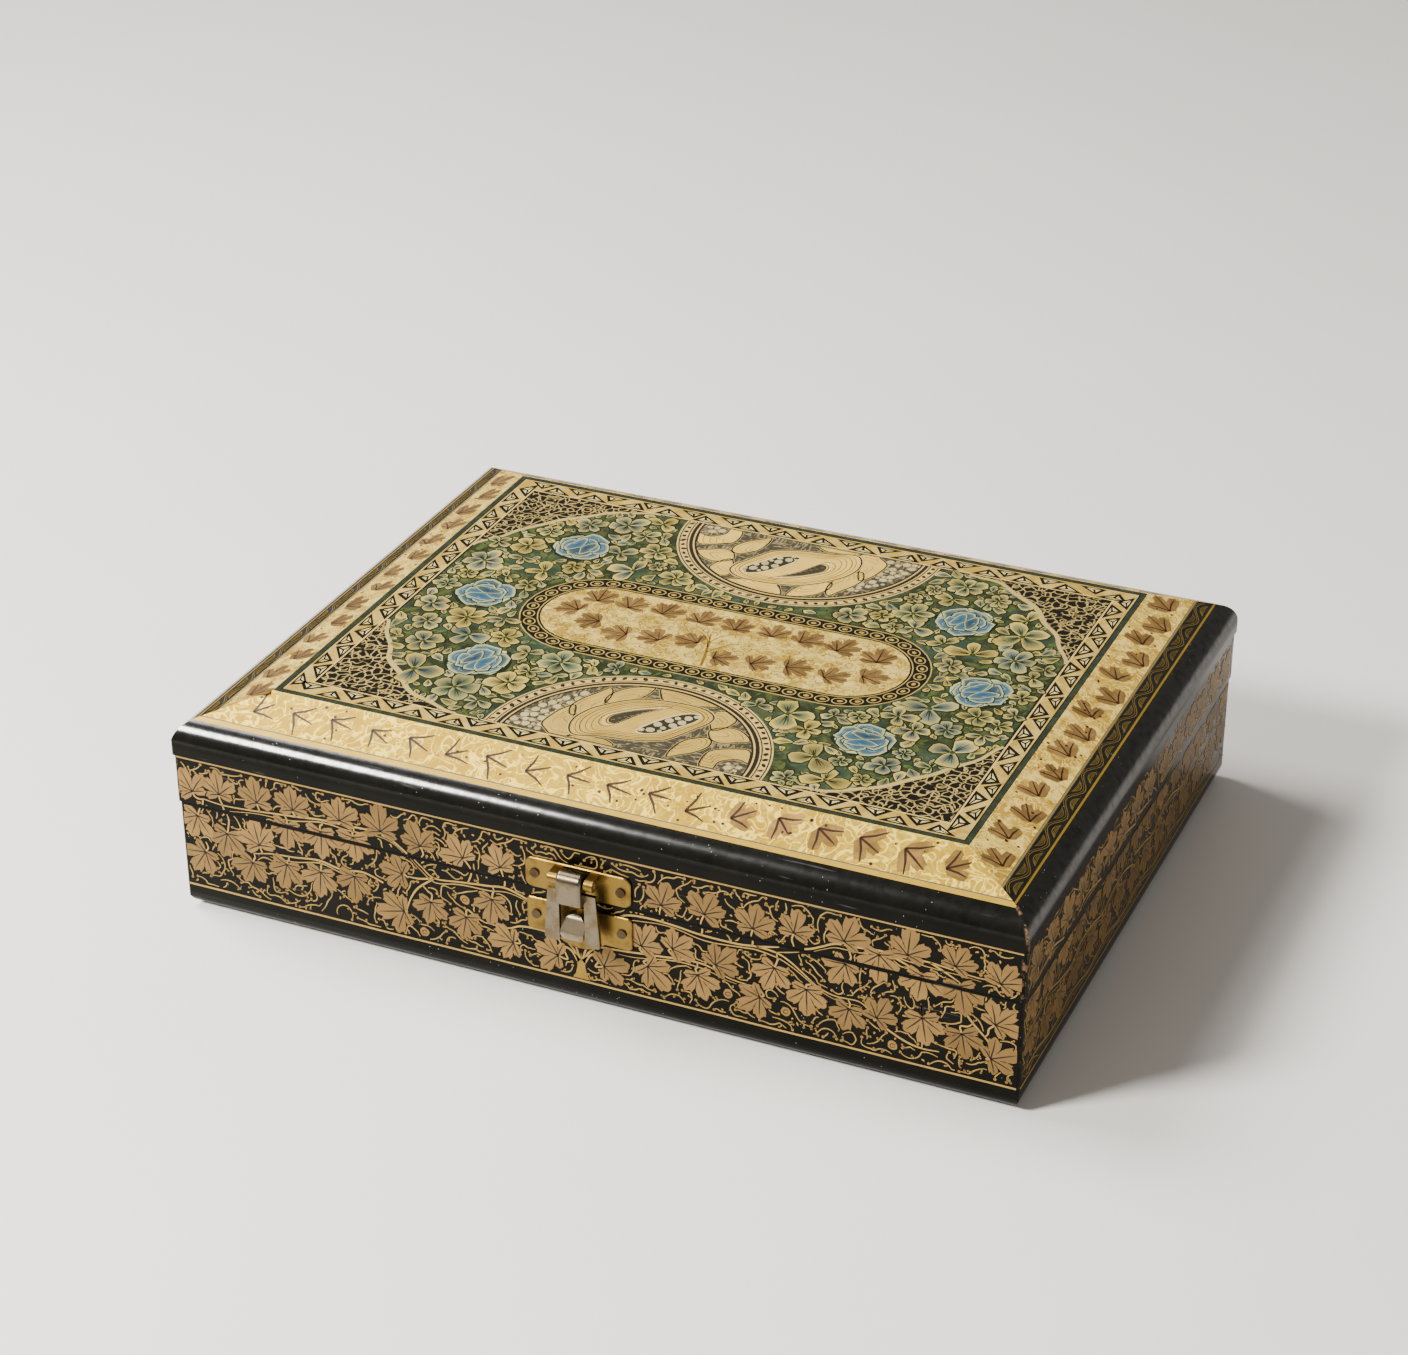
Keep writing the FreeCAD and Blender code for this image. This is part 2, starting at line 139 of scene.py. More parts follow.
def slope_face(side):
    """A slope of the top, measured along the side and up from its crease with the flat."""
    across, out = turned(side)
    angle, crease = (END_SLOPE, FLAT_X) if side % 2 else (SIDE_SLOPE, FLAT_Y)
    up = Vector((0, 0, 1)) * math.sin(angle) - out * math.cos(angle)
    return Face(out * crease + Vector((0, 0, FLAT_Z)), across, up)


FLAT = Face((0, 0, FLAT_Z), (1, 0, 0), (0, 1, 0))


class Paint:
    """Raised paint, gathered as closed shapes in millimetres and made into one mesh."""

    def __init__(self, name, body, slot):
        self.name, self.body, self.slot = name, body, slot
        self.points, self.faces, self.tints, self.maps = [], [], [], []
        self.on(FLAT, PANEL)

    def on(self, face, span, tile=WHOLE):
        """Chooses the face to paint on, its extent and the part of the texture that it gets."""
        self.face, self.span, self.tile = face, span, tile

    def point(self, s, t, height, tint):
        x0, x1, y0, y1 = self.span
        u0, v0, u1, v1 = self.tile
        self.points.append(self.face.at(s, t, height))
        self.tints.append((*tint, 1.0))
        u = min(max((s - x0) / (x1 - x0), 0.0), 1.0)
        v = min(max((t - y0) / (y1 - y0), 0.0), 1.0)
        self.maps.append((u0 + (u1 - u0) * u, v0 + (v1 - v0) * v))
        return len(self.points) - 1

    def row(self, outline, height, tint):
        return [self.point(s, t, height, tint) for s, t in outline]

    def join(self, first, second):
        """Faces between two closed rows of points."""
        for i in range(len(first)):
            j = (i + 1) % len(first)
            self.faces.append((first[i], first[j], second[j], second[i]))

    def fill(self, outline, height, tint=PLAIN):
        """A flat shape with upright edges."""
        if len(outline) < 3:
            return
        outline = anticlockwise(outline)
        top, low = self.row(outline, height, tint), self.row(outline, ROOT, tint)
        self.faces += [top, low[::-1]]
        self.join(low, top)

    def band(self, outer, inner, height, tint=PLAIN):
        """A closed band between two anticlockwise outlines with as many points, one inside the other."""
        rows = [self.row(ring, h, tint) for ring in (outer, inner) for h in (height, ROOT)]
        outer_top, outer_low, inner_top, inner_low = rows
        self.join(outer_top, inner_top)
        self.join(inner_low, outer_low)
        self.join(outer_low, outer_top)
        self.join(inner_top, inner_low)

    def fill_in(self, window, outline, height, tint):
        """The part of a shape that lies in a window."""
        self.fill(clipped(outline, window), height, tint)

    def stroke_in(self, window, line, width, height, tint, taper):
        """The parts of a brush line that lie in a window."""
        for run in runs_inside(line, window):
            self.stroke(run, width, height, tint, taper)

    def trace(self, outline, width, height, tint=PLAIN):
        """A brush line all round a shape."""
        self.stroke(outline + outline[:1], width, height, tint)

    def stroke(self, line, width, height, tint=PLAIN, taper=(1.0, 1.0)):
        """A brush line along points, as wide as width in its middle and tapered to both ends."""
        n = len(line)
        if n < 2:
            return
        rows = []
        for i, (s, t) in enumerate(line):
            a, b = line[max(i - 1, 0)], line[min(i + 1, n - 1)]
            ds, dt = b[0] - a[0], b[1] - a[1]
            length = math.hypot(ds, dt) or 1.0
            k = i / (n - 1)
            swell = min(1.0, taper[0] + (1 - taper[0]) * 2 * k, taper[1] + (1 - taper[1]) * 2 * (1 - k))
            ns, nt = -dt / length * width * swell / 2, ds / length * width * swell / 2
            sides = ((s + ns, t + nt), (s - ns, t - nt))
            rows.append(self.row(sides, height, tint) + self.row(sides, ROOT, tint))
        for a, b in zip(rows, rows[1:]):
            for i, j in ((0, 1), (3, 2), (2, 0), (1, 3)):
                self.faces.append((a[i], a[j], b[j], b[i]))
        first, last = rows[0], rows[-1]
        self.faces.append((first[0], first[2], first[3], first[1]))
        self.faces.append((last[1], last[3], last[2], last[0]))

    def petal(self, outline, heart, height, rim_tint, heart_tint, inset, pale):
        """A petal whose colour runs from its rim to its heart."""
        outline = anticlockwise(outline)
        middle = tuple(pale * a + (1 - pale) * b for a, b in zip(rim_tint, heart_tint))
        top, low = self.row(outline, height, rim_tint), self.row(outline, ROOT, rim_tint)
        ring = self.row(grown(outline, inset, heart), height + PETAL_SWELLING, middle)
        eye = self.point(*heart, height, heart_tint)
        self.faces.append(low[::-1])
        self.join(low, top)
        self.join(top, ring)
        self.faces += [(a, b, eye) for a, b in zip(ring, ring[1:] + ring[:1])]

    def make(self, material):
        """Makes the mesh, hands it the body that carries it and its finish."""
        mesh = bpy.data.meshes.new(self.name)
        mesh.from_pydata(self.points, [], self.faces)
        tint = mesh.attributes.new("tint", "FLOAT_COLOR", "POINT")
        tint.data.foreach_set("color", np.array(self.tints, dtype=np.float32).ravel())
        indices = np.empty(len(mesh.loops), dtype=np.int32)
        mesh.loops.foreach_get("vertex_index", indices)
        places = mesh.uv_layers.new(name="OFBake")
        places.data.foreach_set("uv", np.array(self.maps, dtype=np.float32)[indices].ravel())
        mesh.materials.append(material)
        mesh.validate()
        piece = placed(self.name, mesh)
        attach(piece, self.body)


# Drawing in the plane, in millimetres


def area(outline):
    """Signed area of an outline, positive where it runs anticlockwise."""
    return sum(a[0] * b[1] - b[0] * a[1] for a, b in zip(outline, outline[1:] + outline[:1])) / 2


def anticlockwise(outline):
    return outline if area(outline) >= 0 else outline[::-1]


def middle_of(shape):
    """The mean of a shape's points."""
    return tuple(sum(p[axis] for p in shape) / len(shape) for axis in (0, 1))


def grown(shape, k, middle=None):
    """A shape made larger or smaller about a point, its middle if none is given."""
    cs, ct = middle or middle_of(shape)
    return [(cs + (s - cs) * k, ct + (t - ct) * k) for s, t in shape]


def between(a, b, k):
    """The point a share of the way from one point to another."""
    return a[0] + (b[0] - a[0]) * k, a[1] + (b[1] - a[1]) * k


def smooth(points, steps, closed=False):
    """A smooth line through the points."""
    n = len(points)
    line = []
    for i in range(n if closed else n - 1):
        if closed:
            p0, p1, p2, p3 = (points[(i + k) % n] for k in (-1, 0, 1, 2))
        else:
            p0, p1, p2, p3 = (points[min(max(i + k, 0), n - 1)] for k in (-1, 0, 1, 2))
        for k in range(steps):
            u = k / steps
            line.append(tuple(
                b + 0.5 * u * (c - a + (2 * a - 5 * b + 4 * c - d) * u + (3 * b - a - 3 * c + d) * u * u)
                for a, b, c, d in zip(p0, p1, p2, p3)
            ))
    return line if closed else line + [tuple(points[-1])]


def moved(shape, s, t, turn=0.0, size=1.0, flip=1.0):
    """A shape turned by an angle in degrees, sized and moved."""
    c, k = math.cos(math.radians(turn)) * size, math.sin(math.radians(turn)) * size
    return [(s + x * c - y * flip * k, t + x * k + y * flip * c) for x, y in shape]


def oval(s, t, a, b, turn=0.0, count=12):
    """An oval outline."""
    angles = [2 * math.pi * i / count for i in range(count)]
    return moved([(a * math.cos(angle), b * math.sin(angle)) for angle in angles], s, t, turn)


def cut(outline, axis, limit, keep):
    """The part of an outline on one side of a line. keep is 1 for above the limit, -1 for below it."""
    kept = []
    for a, b in zip(outline, outline[1:] + outline[:1]):
        da, db = (a[axis] - limit) * keep, (b[axis] - limit) * keep
        if da >= 0:
            kept.append(a)
        if (da > 0) != (db > 0) and abs(da - db) > 1e-9:
            kept.append(between(a, b, da / (da - db)))
    return kept


# Square millimetres below which a scrap of a shape isn't painted
SMALLEST_SHAPE = 0.02


def clipped(outline, window):
    """The part of an outline inside a window of (left, right, low, high)."""
    for n, limit in enumerate(window):
        outline = cut(outline, n // 2, limit, -1 if n % 2 else 1)
    return outline if len(outline) > 2 and abs(area(outline)) > SMALLEST_SHAPE else []


def runs_inside(line, window):
    """The stretches of a line inside a window, ended on its edge."""
    def within(p):
        return x0 <= p[0] <= x1 and y0 <= p[1] <= y1

    x0, x1, y0, y1 = window
    run = []
    for p, q in zip(line, line[1:] + line[-1:]):
        inside = within(p)
        if inside:
            run.append(p)
        if inside != within(q):
            low, high = 0.0, 1.0
            for _ in range(12):
                k = (low + high) / 2
                edge = between(p, q, k)
                if within(edge) == inside:
                    low = k
                else:
                    high = k
            run.append(edge)
            if inside:
                yield run
                run = []
    if len(run) > 1:
        yield run


class Leaf:
    """A kind of leaf one unit long, with its stalk at the origin."""

    def __init__(self, lobes, edge, widths, foot, start, sway, sizes, bend, tips, notches, forks=None):
        # Angle and reach of each lobe, in degrees and units, and places along its edge as shares of both
        self.lobes, self.edge = lobes, edge
        # Spread of the middle and the outer lobes, places beside the stalk, and the stalk's own
        self.widths, self.foot, self.start = widths, foot, start
        # How much the lobes turn, and how much they grow or shrink
        self.sway, self.sizes = sway, sizes
        # Bend of the veins, where they end, depth of the notches and length of the short veins from them
        self.bend, self.tips, self.notches, self.forks = bend, tips, notches, forks

    def reach(self, lobes, n):
        """How far a lobe spreads to both sides, in degrees, without running into the next one."""
        angle = lobes[n][0]
        wide = self.widths[0] if abs(angle) < 70 else self.widths[1]
        left = min(wide, 0.5 * (angle - lobes[n - 1][0])) if n else wide
        right = min(wide, 0.5 * (lobes[n + 1][0] - angle)) if n < len(lobes) - 1 else wide
        return left, right

    def draw(self, rng):
        """Outline and veins of one leaf of this kind."""
        sway, sizes = self.sway, self.sizes
        lobes = [(a + rng.uniform(-sway, sway), r * rng.uniform(*sizes)) for a, r in self.lobes]
        outline, veins = [(self.start, 0.0)] + [spoke(-a, r) for a, r in self.foot], []
        for n, (angle, reach) in enumerate(lobes):
            left, right = self.reach(lobes, n)
            for u, v in self.edge:
                side = left if u < 0 else right
                outline.append(spoke(angle + u * side, reach * v * rng.uniform(0.96, 1.03)))
            knee = spoke(angle * self.bend[0], reach * self.bend[1])
            veins.append([(0.0, 0.0), knee, spoke(angle, reach * rng.uniform(*self.tips))])
            if n < len(lobes) - 1:
                middle = (angle + lobes[n + 1][0]) / 2
                notch = min(reach, lobes[n + 1][1]) * rng.uniform(*self.notches)
                outline.append(spoke(middle, notch))
                if self.forks:
                    end = spoke(middle, notch * rng.uniform(*self.forks))
                    veins.append([spoke(middle, notch * 1.1), end])
        return outline + [spoke(a, r) for a, r in reversed(self.foot)], veins


def spoke(degrees, reach):
    """The point at an angle in degrees and a distance from a leaf's stalk."""
    return polar(0.0, 0.0, reach, math.radians(degrees))


# On the walls: five pointed lobes and a base cut like a heart's
VINE_LEAF = Leaf(
    lobes=((-104, 0.57), (-52, 0.86), (0, 1.0), (52, 0.86), (104, 0.57)),
    edge=((-0.95, 0.70), (-0.70, 0.91), (-0.48, 0.86), (-0.22, 0.97), (0.03, 1.02), (0.24, 0.96),
          (0.48, 0.87), (0.70, 0.92), (0.95, 0.70)),
    widths=(25.0, 24.0), foot=((140, 0.22),), start=-0.03, sway=5, sizes=(0.90, 1.08),
    bend=(0.96, 0.45), tips=(0.82, 0.94), notches=(0.48, 0.64), forks=(0.5, 0.7),
)
# In the cartouche: a fan of five toothed lobes
FAN_LEAF = Leaf(
    lobes=((-77, 0.60), (-39, 0.85), (0, 1.0), (39, 0.85), (77, 0.60)),
    edge=((-0.92, 0.76), (-0.66, 0.94), (-0.46, 0.87), (-0.20, 0.955), (0.03, 1.01), (0.22, 0.95),
          (0.46, 0.87), (0.68, 0.94), (0.92, 0.76)),
    widths=(19.0, 17.0), foot=((118, 0.17), (104, 0.40)), start=-0.03, sway=5, sizes=(0.90, 1.08),
    bend=(0.96, 0.45), tips=(0.82, 0.94), notches=(0.48, 0.64), forks=(0.5, 0.7),
)
# On the border: three lobes
SMALL_LEAF = Leaf(
    lobes=((-46, 0.92), (0, 0.96), (46, 0.92)),
    edge=((-0.96, 0.74), (-0.5952, 0.95), (-0.288, 0.93), (0.0, 1.0), (0.288, 0.93), (0.5952, 0.95),
          (0.96, 0.74)),
    widths=(20.0, 20.0), foot=((96, 0.26),), start=-0.02, sway=7, sizes=(0.88, 1.06),
    bend=(0.9, 0.5), tips=(0.84, 1.0), notches=(0.56, 0.7),
)


class Room:
    """A map of the free room on a face, in small cells, to keep filling ornament clear of the rest."""

    def __init__(self, span, cell=0.25):
        self.x0, self.x1, self.y0, self.y1 = span
        self.cell = cell
        columns, rows = (int((high - low) / cell) + 1 for low, high in (span[:2], span[2:]))
        self.taken = np.zeros((rows, columns), dtype=bool)
        self.xs = self.x0 + np.arange(columns) * cell
        self.ys = self.y0 + np.arange(rows) * cell

    def window(self, s0, s1, t0, t1):
        i0, i1 = int((s0 - self.x0) / self.cell), int((s1 - self.x0) / self.cell) + 2
        j0, j1 = int((t0 - self.y0) / self.cell), int((t1 - self.y0) / self.cell) + 2
        return slice(max(j0, 0), max(j1, 0)), slice(max(i0, 0), max(i1, 0))

    def disc(self, s, t, r):
        j, i = self.window(s - r, s + r, t - r, t + r)
        near = (self.xs[i][None, :] - s) ** 2 + (self.ys[j][:, None] - t) ** 2 <= r * r
        return j, i, near

    def take_disc(self, s, t, r):
        j, i, near = self.disc(s, t, r)
        self.taken[j, i] |= near

    def inside(self, outline):
        ss, ts = [p[0] for p in outline], [p[1] for p in outline]
        j, i = self.window(min(ss), max(ss), min(ts), max(ts))
        gx, gy = self.xs[i][None, :], self.ys[j][:, None]
        within = np.zeros((gy.shape[0], gx.shape[1]), dtype=bool)
        for (ax, ay), (bx, by) in zip(outline, outline[1:] + outline[:1]):
            if ay != by:
                crosses = ((gy < ay) != (gy < by)) & (gx < ax + (gy - ay) * (bx - ax) / (by - ay))
                within ^= crosses
        return j, i, within

    def take(self, outline):
        j, i, within = self.inside(outline)
        self.taken[j, i] |= within

    def leave_only(self, outline):
        j, i, within = self.inside(outline)
        free = np.zeros_like(self.taken)
        free[j, i] = within
        self.taken |= ~free

    def take_line(self, line, r):
        for s, t in line:
            self.take_disc(s, t, r)

    def free(self, s, t, r):
        if s - r < self.x0 or s + r > self.x1 or t - r < self.y0 or t + r > self.y1:
            return False
        j, i, near = self.disc(s, t, r)
        return not (self.taken[j, i] & near).any()

    def spots(self, rng, r, tries):
        """Free places for a disc, tried at random. The caller takes the room that it uses."""
        for _ in range(tries):
            s, t = rng.uniform(self.x0, self.x1), rng.uniform(self.y0, self.y1)
            if self.free(s, t, r):
                yield s, t


# Finishes


def maths(operation, reflected=False):
    """A method that works out one operation on a shader's values, as a Math node."""
    def work_out(value, *others):
        parts = (*others, value) if reflected else (value, *others)
        node = value.shade.node("ShaderNodeMath", {"operation": operation}, dict(enumerate(parts)))
        return Value(value.shade, node.outputs[0])

    return work_out


class Value:
    """A number that a shader works out. Arithmetic on it adds Math nodes."""

    def __init__(self, shade, socket):
        self.shade, self.socket = shade, socket

    __add__ = __radd__ = maths("ADD")
    __mul__ = __rmul__ = maths("MULTIPLY")
    __sub__, __rsub__ = maths("SUBTRACT"), maths("SUBTRACT", reflected=True)
    __gt__, __lt__, __abs__ = maths("GREATER_THAN"), maths("LESS_THAN"), maths("ABSOLUTE")
    most = maths("MAXIMUM")

    def eased(self, low, high):
        """0 below low, 1 above high, with a smooth rise between, or the other way round if low is above."""
        node = self.shade.node(
            "ShaderNodeMapRange", {"interpolation_type": "SMOOTHSTEP"},
            {"Value": self, "From Min": low, "From Max": high},
        )
        return Value(self.shade, node.outputs[0])


class Shade:
    """One material and the nodes that it is made of."""

    def __init__(self, name, **plain):
        self.material = bpy.data.materials.new(name)
        self.material.use_nodes = True
        self.tree = self.material.node_tree
        self.tree.nodes.clear()
        sockets = {key.replace("_", " "): value for key, value in plain.items()}
        self.surface = self.node("ShaderNodeBsdfPrincipled", {}, sockets)
        end = self.node("ShaderNodeOutputMaterial")
        self.tree.links.new(self.surface.outputs[0], end.inputs["Surface"])
        self.place = self.node("ShaderNodeTexCoord").outputs["Object"]

    def node(self, kind, settings=None, values=None):
        """Any node: its settings are set first, then the values or links of its sockets."""
        node = self.tree.nodes.new(kind)
        for key, value in (settings or {}).items():
            setattr(node, key, value)
        for key, value in (values or {}).items():
            self.feed(node.inputs[key], value)
        return node

    def feed(self, socket, value):
        if isinstance(value, Value):
            value = value.socket
        if isinstance(value, bpy.types.NodeSocket):
            self.tree.links.new(value, socket)
        elif socket.type == "RGBA" and len(value) == 3:
            socket.default_value = (*value, 1.0)
        else:
            socket.default_value = value

    def axes(self):
        """Place on the box along each axis, in millimetres."""
        split = self.node("ShaderNodeSeparateXYZ", {}, {0: self.place})
        return [Value(self, split.outputs[i]) * 1000.0 for i in range(3)]

    def stretched(self, scale, turn=(0, 0, 0)):
        values = {"Vector": self.place, "Scale": scale, "Rotation": turn}
        return self.node("ShaderNodeMapping", {}, values).outputs[0]

    def noise(self, size, detail=3.0, rough=0.55, warp=0.0, place=None):
        """Soft cloudy noise with features of a size in millimetres, about 0.5."""
        node = self.node("ShaderNodeTexNoise", {}, {
            "Vector": place or self.place, "Scale": 1000.0 / size, "Detail": detail, "Roughness": rough,
            "Distortion": warp,
        })
        return Value(self, node.outputs[0])

    def cells(self, size, feature="F1", place=None, dimensions="3D"):
        """Distance to scattered points a size apart, in millimetres, or to the edges between them."""
        settings = {"voronoi_dimensions": dimensions, "feature": feature}
        values = {"Vector": place or self.place, "Scale": 1000.0 / size}
        return Value(self, self.node("ShaderNodeTexVoronoi", settings, values).outputs["Distance"])

    def mix(self, share, first, second, blend="MIX"):
        settings = {"data_type": "RGBA", "blend_type": blend}
        return self.node("ShaderNodeMix", settings, {0: share, 6: first, 7: second}).outputs[2]

    def tint(self):
        """The colour that each painted shape carries."""
        return self.node("ShaderNodeAttribute", {"attribute_name": "tint"}).outputs["Color"]

    def tinted(self, base):
        return self.mix(1.0, self.tint(), base, "MULTIPLY")

    def bump(self, height, deep, strength):
        values = {"Strength": strength, "Distance": deep * MM, "Height": height}
        return self.node("ShaderNodeBump", {}, values).outputs[0]

    def finish(self, **sockets):
        for key, value in sockets.items():
            self.feed(self.surface.inputs[key.replace("_", " ")], value)
        return self.material


# Just inside the walls' inner faces and just above the bottom board, in millimetres
WALL_REACH, FLOOR_TOP = 7.9, 8.0
# Between these heights the lid's polish begins
POLISH_LOW, POLISH_HIGH = 52.5, 56.5


def black_lacquer(colours):
    """Polished black lacquer over wood: dust in the varnish, hairline scratches, and worn brown edges."""
    m = Shade("black lacquer", IOR=1.40, Specular_IOR_Level=0.09, Coat_Roughness=0.16)
    x, y, z = m.axes()
    ax, ay = abs(x), abs(y)
    cloud = m.noise(14.0, 4)
    fine = m.noise(0.9, 2)
    specks = (m.cells(1.6) < 0.07) * m.noise(9.0, 1).eased(0.5, 0.62)
    scratch = m.noise(1.0, 2, place=m.stretched((0.05, 1.0, 1.0), (0.2, 0.1, 0.5))).eased(0.66, 0.72)
    scratch = scratch * m.noise(22.0, 1).eased(0.54, 0.64)
    mitre = abs((TOP_HIGH[0] - ax) - (TOP_HIGH[1] - ay))
    corner = mitre.eased(1.1, 0.15) * (ax > SHOULDER_X) * (z > LID_HIGH[2])
    upright = ((ax - LID_END) + (ay - LID_FRONT)).eased(-1.6, -0.5) * (z < LID_HIGH[2])
    worn = corner.most(upright) * m.noise(3.0, 4, 0.7).eased(0.5, 0.62)
    inside = (ax < LID_END - WALL_REACH) * (ay < LID_FRONT - WALL_REACH)
    inside = inside * (z > FLOOR_TOP) * (z < LID_HIGH[2])
    base = m.mix(cloud.eased(0.35, 0.7), colours.lacquer, (0.005, 0.0046, 0.003))
    base = m.mix(inside * (0.45 + cloud * 0.3), base, (0.020, 0.016, 0.012))
    base = m.mix(specks * 0.75, base, (0.55, 0.53, 0.48))
    base = m.mix(scratch * (0.18 - inside * 0.14), base, (0.20, 0.19, 0.17))
    base = m.mix(worn * 0.8, base, colours.bare_wood)
    rough = 0.09 + cloud * 0.10 + specks * 0.4 + scratch * 0.2 + worn * 0.35 + inside * 0.22
    height = m.noise(6.0, 2) * 0.5 + fine * 0.12 + specks * 0.5
    polish = z.eased(POLISH_LOW, POLISH_HIGH) * (0.55 + m.noise(2.4, 3).eased(0.3, 0.6) * 0.45)
    return m.finish(Base_Color=base, Roughness=rough, Coat_Weight=polish, Normal=m.bump(height, 0.02, 0.25))


def gilt(name, colour, dull, metal, rough):
    """Bronze-gold paint: brushed grain, thin places duller by a share, and a dull gleam."""
    m = Shade(name, IOR=1.45, Metallic=metal, Specular_IOR_Level=0.15)
    grain = m.noise(0.55, 3, 0.65)
    patch = m.noise(4.5, 3)
    base = m.tinted(m.mix(patch.eased(0.32, 0.72), toned(colour, dull), colour))
    base = m.mix(grain.eased(0.58, 0.8) * 0.35, base, toned(colour, 0.45))
    return m.finish(Base_Color=base, Roughness=rough + grain * 0.22, Normal=m.bump(grain, 0.02, 0.3))


def line_paint(name, colour, rough):
    """Paint for brush lines, a little uneven along them."""
    m = Shade(name, IOR=1.45, Specular_IOR_Level=0.2)
    patch = m.noise(2.2, 3)
    base = m.mix(patch.eased(0.35, 0.8) * 0.4, colour, toned(colour, 0.6))
    return m.finish(Base_Color=m.tinted(base), Roughness=rough)


def cream_ground(name, colour, gold, pale, amount):
    """Gold-cream paint under varnish: pale scrolls, gold squiggles and clouds between, and old stains. The
    front slope gets a gold wash, a painted golden sheen.
    """
    m = Shade(name, IOR=1.45, Specular_IOR_Level=0.15)
    y = m.axes()[1]
    front = y.eased(-FLAT_Y + 1.0, -FLAT_Y - 1.0)
    cloud = m.noise(6.0, 3, 0.6, 0.4)
    ribbon = abs(m.noise(4.2, 1, 0.5, 1.5) - 0.5).eased(0.045, 0.012)
    squiggle = abs(m.noise(2.8, 2, 0.5, 1.6) - 0.5).eased(0.05, 0.014) * m.noise(5.0, 1).eased(0.42, 0.52)
    swirl = abs(m.noise(6.5, 1, 0.5, 2.2) - 0.5).eased(0.055, 0.02)
    fleck = m.noise(2.2, 3, 0.6, 0.8).eased(0.52, 0.66)
    stain = m.noise(11.0, 3).eased(0.52, 0.75)
    base = m.mix(cloud.eased(0.38, 0.62) * (0.85 - front * 0.60), colour, pale)
    base = m.mix(stain * 0.5, base, toned(colour, 0.88, 0.76, 0.6))
    # On the front slope at least half the cream is washed with gold: a painted golden sheen
    base = m.mix((fleck * 0.45).most(front * 0.5) * amount, base, gold)
    base = m.mix(squiggle * (0.75 - front * 0.65) * amount, base, gold)
    base = m.mix((ribbon * (1 - front * 0.7)).most(swirl * front) * (0.85 * amount), base, pale)
    base = m.tinted(base)
    rough = 0.30 + cloud * 0.12 + ribbon * 0.12 + front * 0.14
    shine = 0.20 + front * 0.12
    relief = m.bump(ribbon + cloud * 0.5, 0.02, 0.3)
    return m.finish(Base_Color=base, Roughness=rough, Metallic=shine, Normal=relief)


def stained_leaf(name, colour):
    """Thin brown stain laid over cream, streaked and uneven."""
    m = Shade(name, IOR=1.45, Metallic=0.2, Specular_IOR_Level=0.06)
    streak = m.noise(0.7, 3, 0.6)
    patch = m.noise(3.0, 3)
    base = m.mix(patch.eased(0.35, 0.7), toned(colour, 0.78), toned(colour, 1.22))
    base = m.mix(streak.eased(0.55, 0.8) * 0.4, base, toned(colour, 0.6))
    return m.finish(Base_Color=m.tinted(base), Roughness=0.26 + streak * 0.15)


def green_ground(colours):
    """Mottled green ground of the flower field."""
    m = Shade("green ground", IOR=1.5, Specular_IOR_Level=0.25)
    cloud = m.noise(4.0, 4, 0.6, 0.5)
    patch = m.noise(16.0, 2)
    dab = m.cells(1.5).eased(0.25, 0.62)
    base = m.mix(cloud.eased(0.36, 0.66), colours.field_dark, colours.field)
    base = m.mix(patch.eased(0.45, 0.65) * 0.5, base, (0.030, 0.062, 0.042))
    base = m.mix(dab * cloud.eased(0.5, 0.7) * 0.4, base, (0.11, 0.12, 0.045))
    return m.finish(Base_Color=base, Roughness=0.24 + cloud * 0.15, Normal=m.bump(cloud, 0.02, 0.3))


def enamel(name, rough=0.24, sand=0.16):
    """Flower paint: the colours run in the petals, with fine brush marks."""
    m = Shade(name, IOR=1.5, Specular_IOR_Level=0.25)
    brush = m.noise(0.8, 3, 0.6)
    patch = m.noise(5.0, 2)
    base = m.mix(brush.eased(0.5, 0.8) * 0.22, m.tint(), (0.050, 0.068, 0.040))
    base = m.mix(patch.eased(0.5, 0.75) * sand, base, (0.34, 0.29, 0.10))
    return m.finish(Base_Color=base, Roughness=rough + brush * 0.12)


def hatched_ground(colours):
    """Grey medallion ground, hatched with fine pale strokes."""
    m = Shade("hatched ground", IOR=1.5, Specular_IOR_Level=0.3)
    strokes = m.noise(0.75, 2, 0.5, 0.6, m.stretched((1.0, 0.26, 1.0), (0, 0, 0.6))).eased(0.50, 0.58)
    other = m.noise(0.75, 2, 0.5, 0.6, m.stretched((0.26, 1.0, 1.0), (0, 0, 0.5))).eased(0.53, 0.61)
    region = m.noise(10.0, 1).eased(0.47, 0.53)
    mark = strokes * (1 - region) + other * region
    base = m.mix(mark * 0.85, colours.hatch, (0.27, 0.21, 0.095))
    return m.finish(Base_Color=base, Roughness=0.30 + mark * 0.1)


def line_green(colours):
    """Dark green paint, lighter in patches."""
    m = Shade("dark green line", IOR=1.5)
    patch = m.noise(3.0, 4, 0.65)
    streak = m.noise(1.2, 2)
    base = m.mix(patch.eased(0.4, 0.66), colours.line_green, toned(colours.line_green, 1.9))
    return m.finish(Base_Color=base, Roughness=0.22 + streak * 0.15)


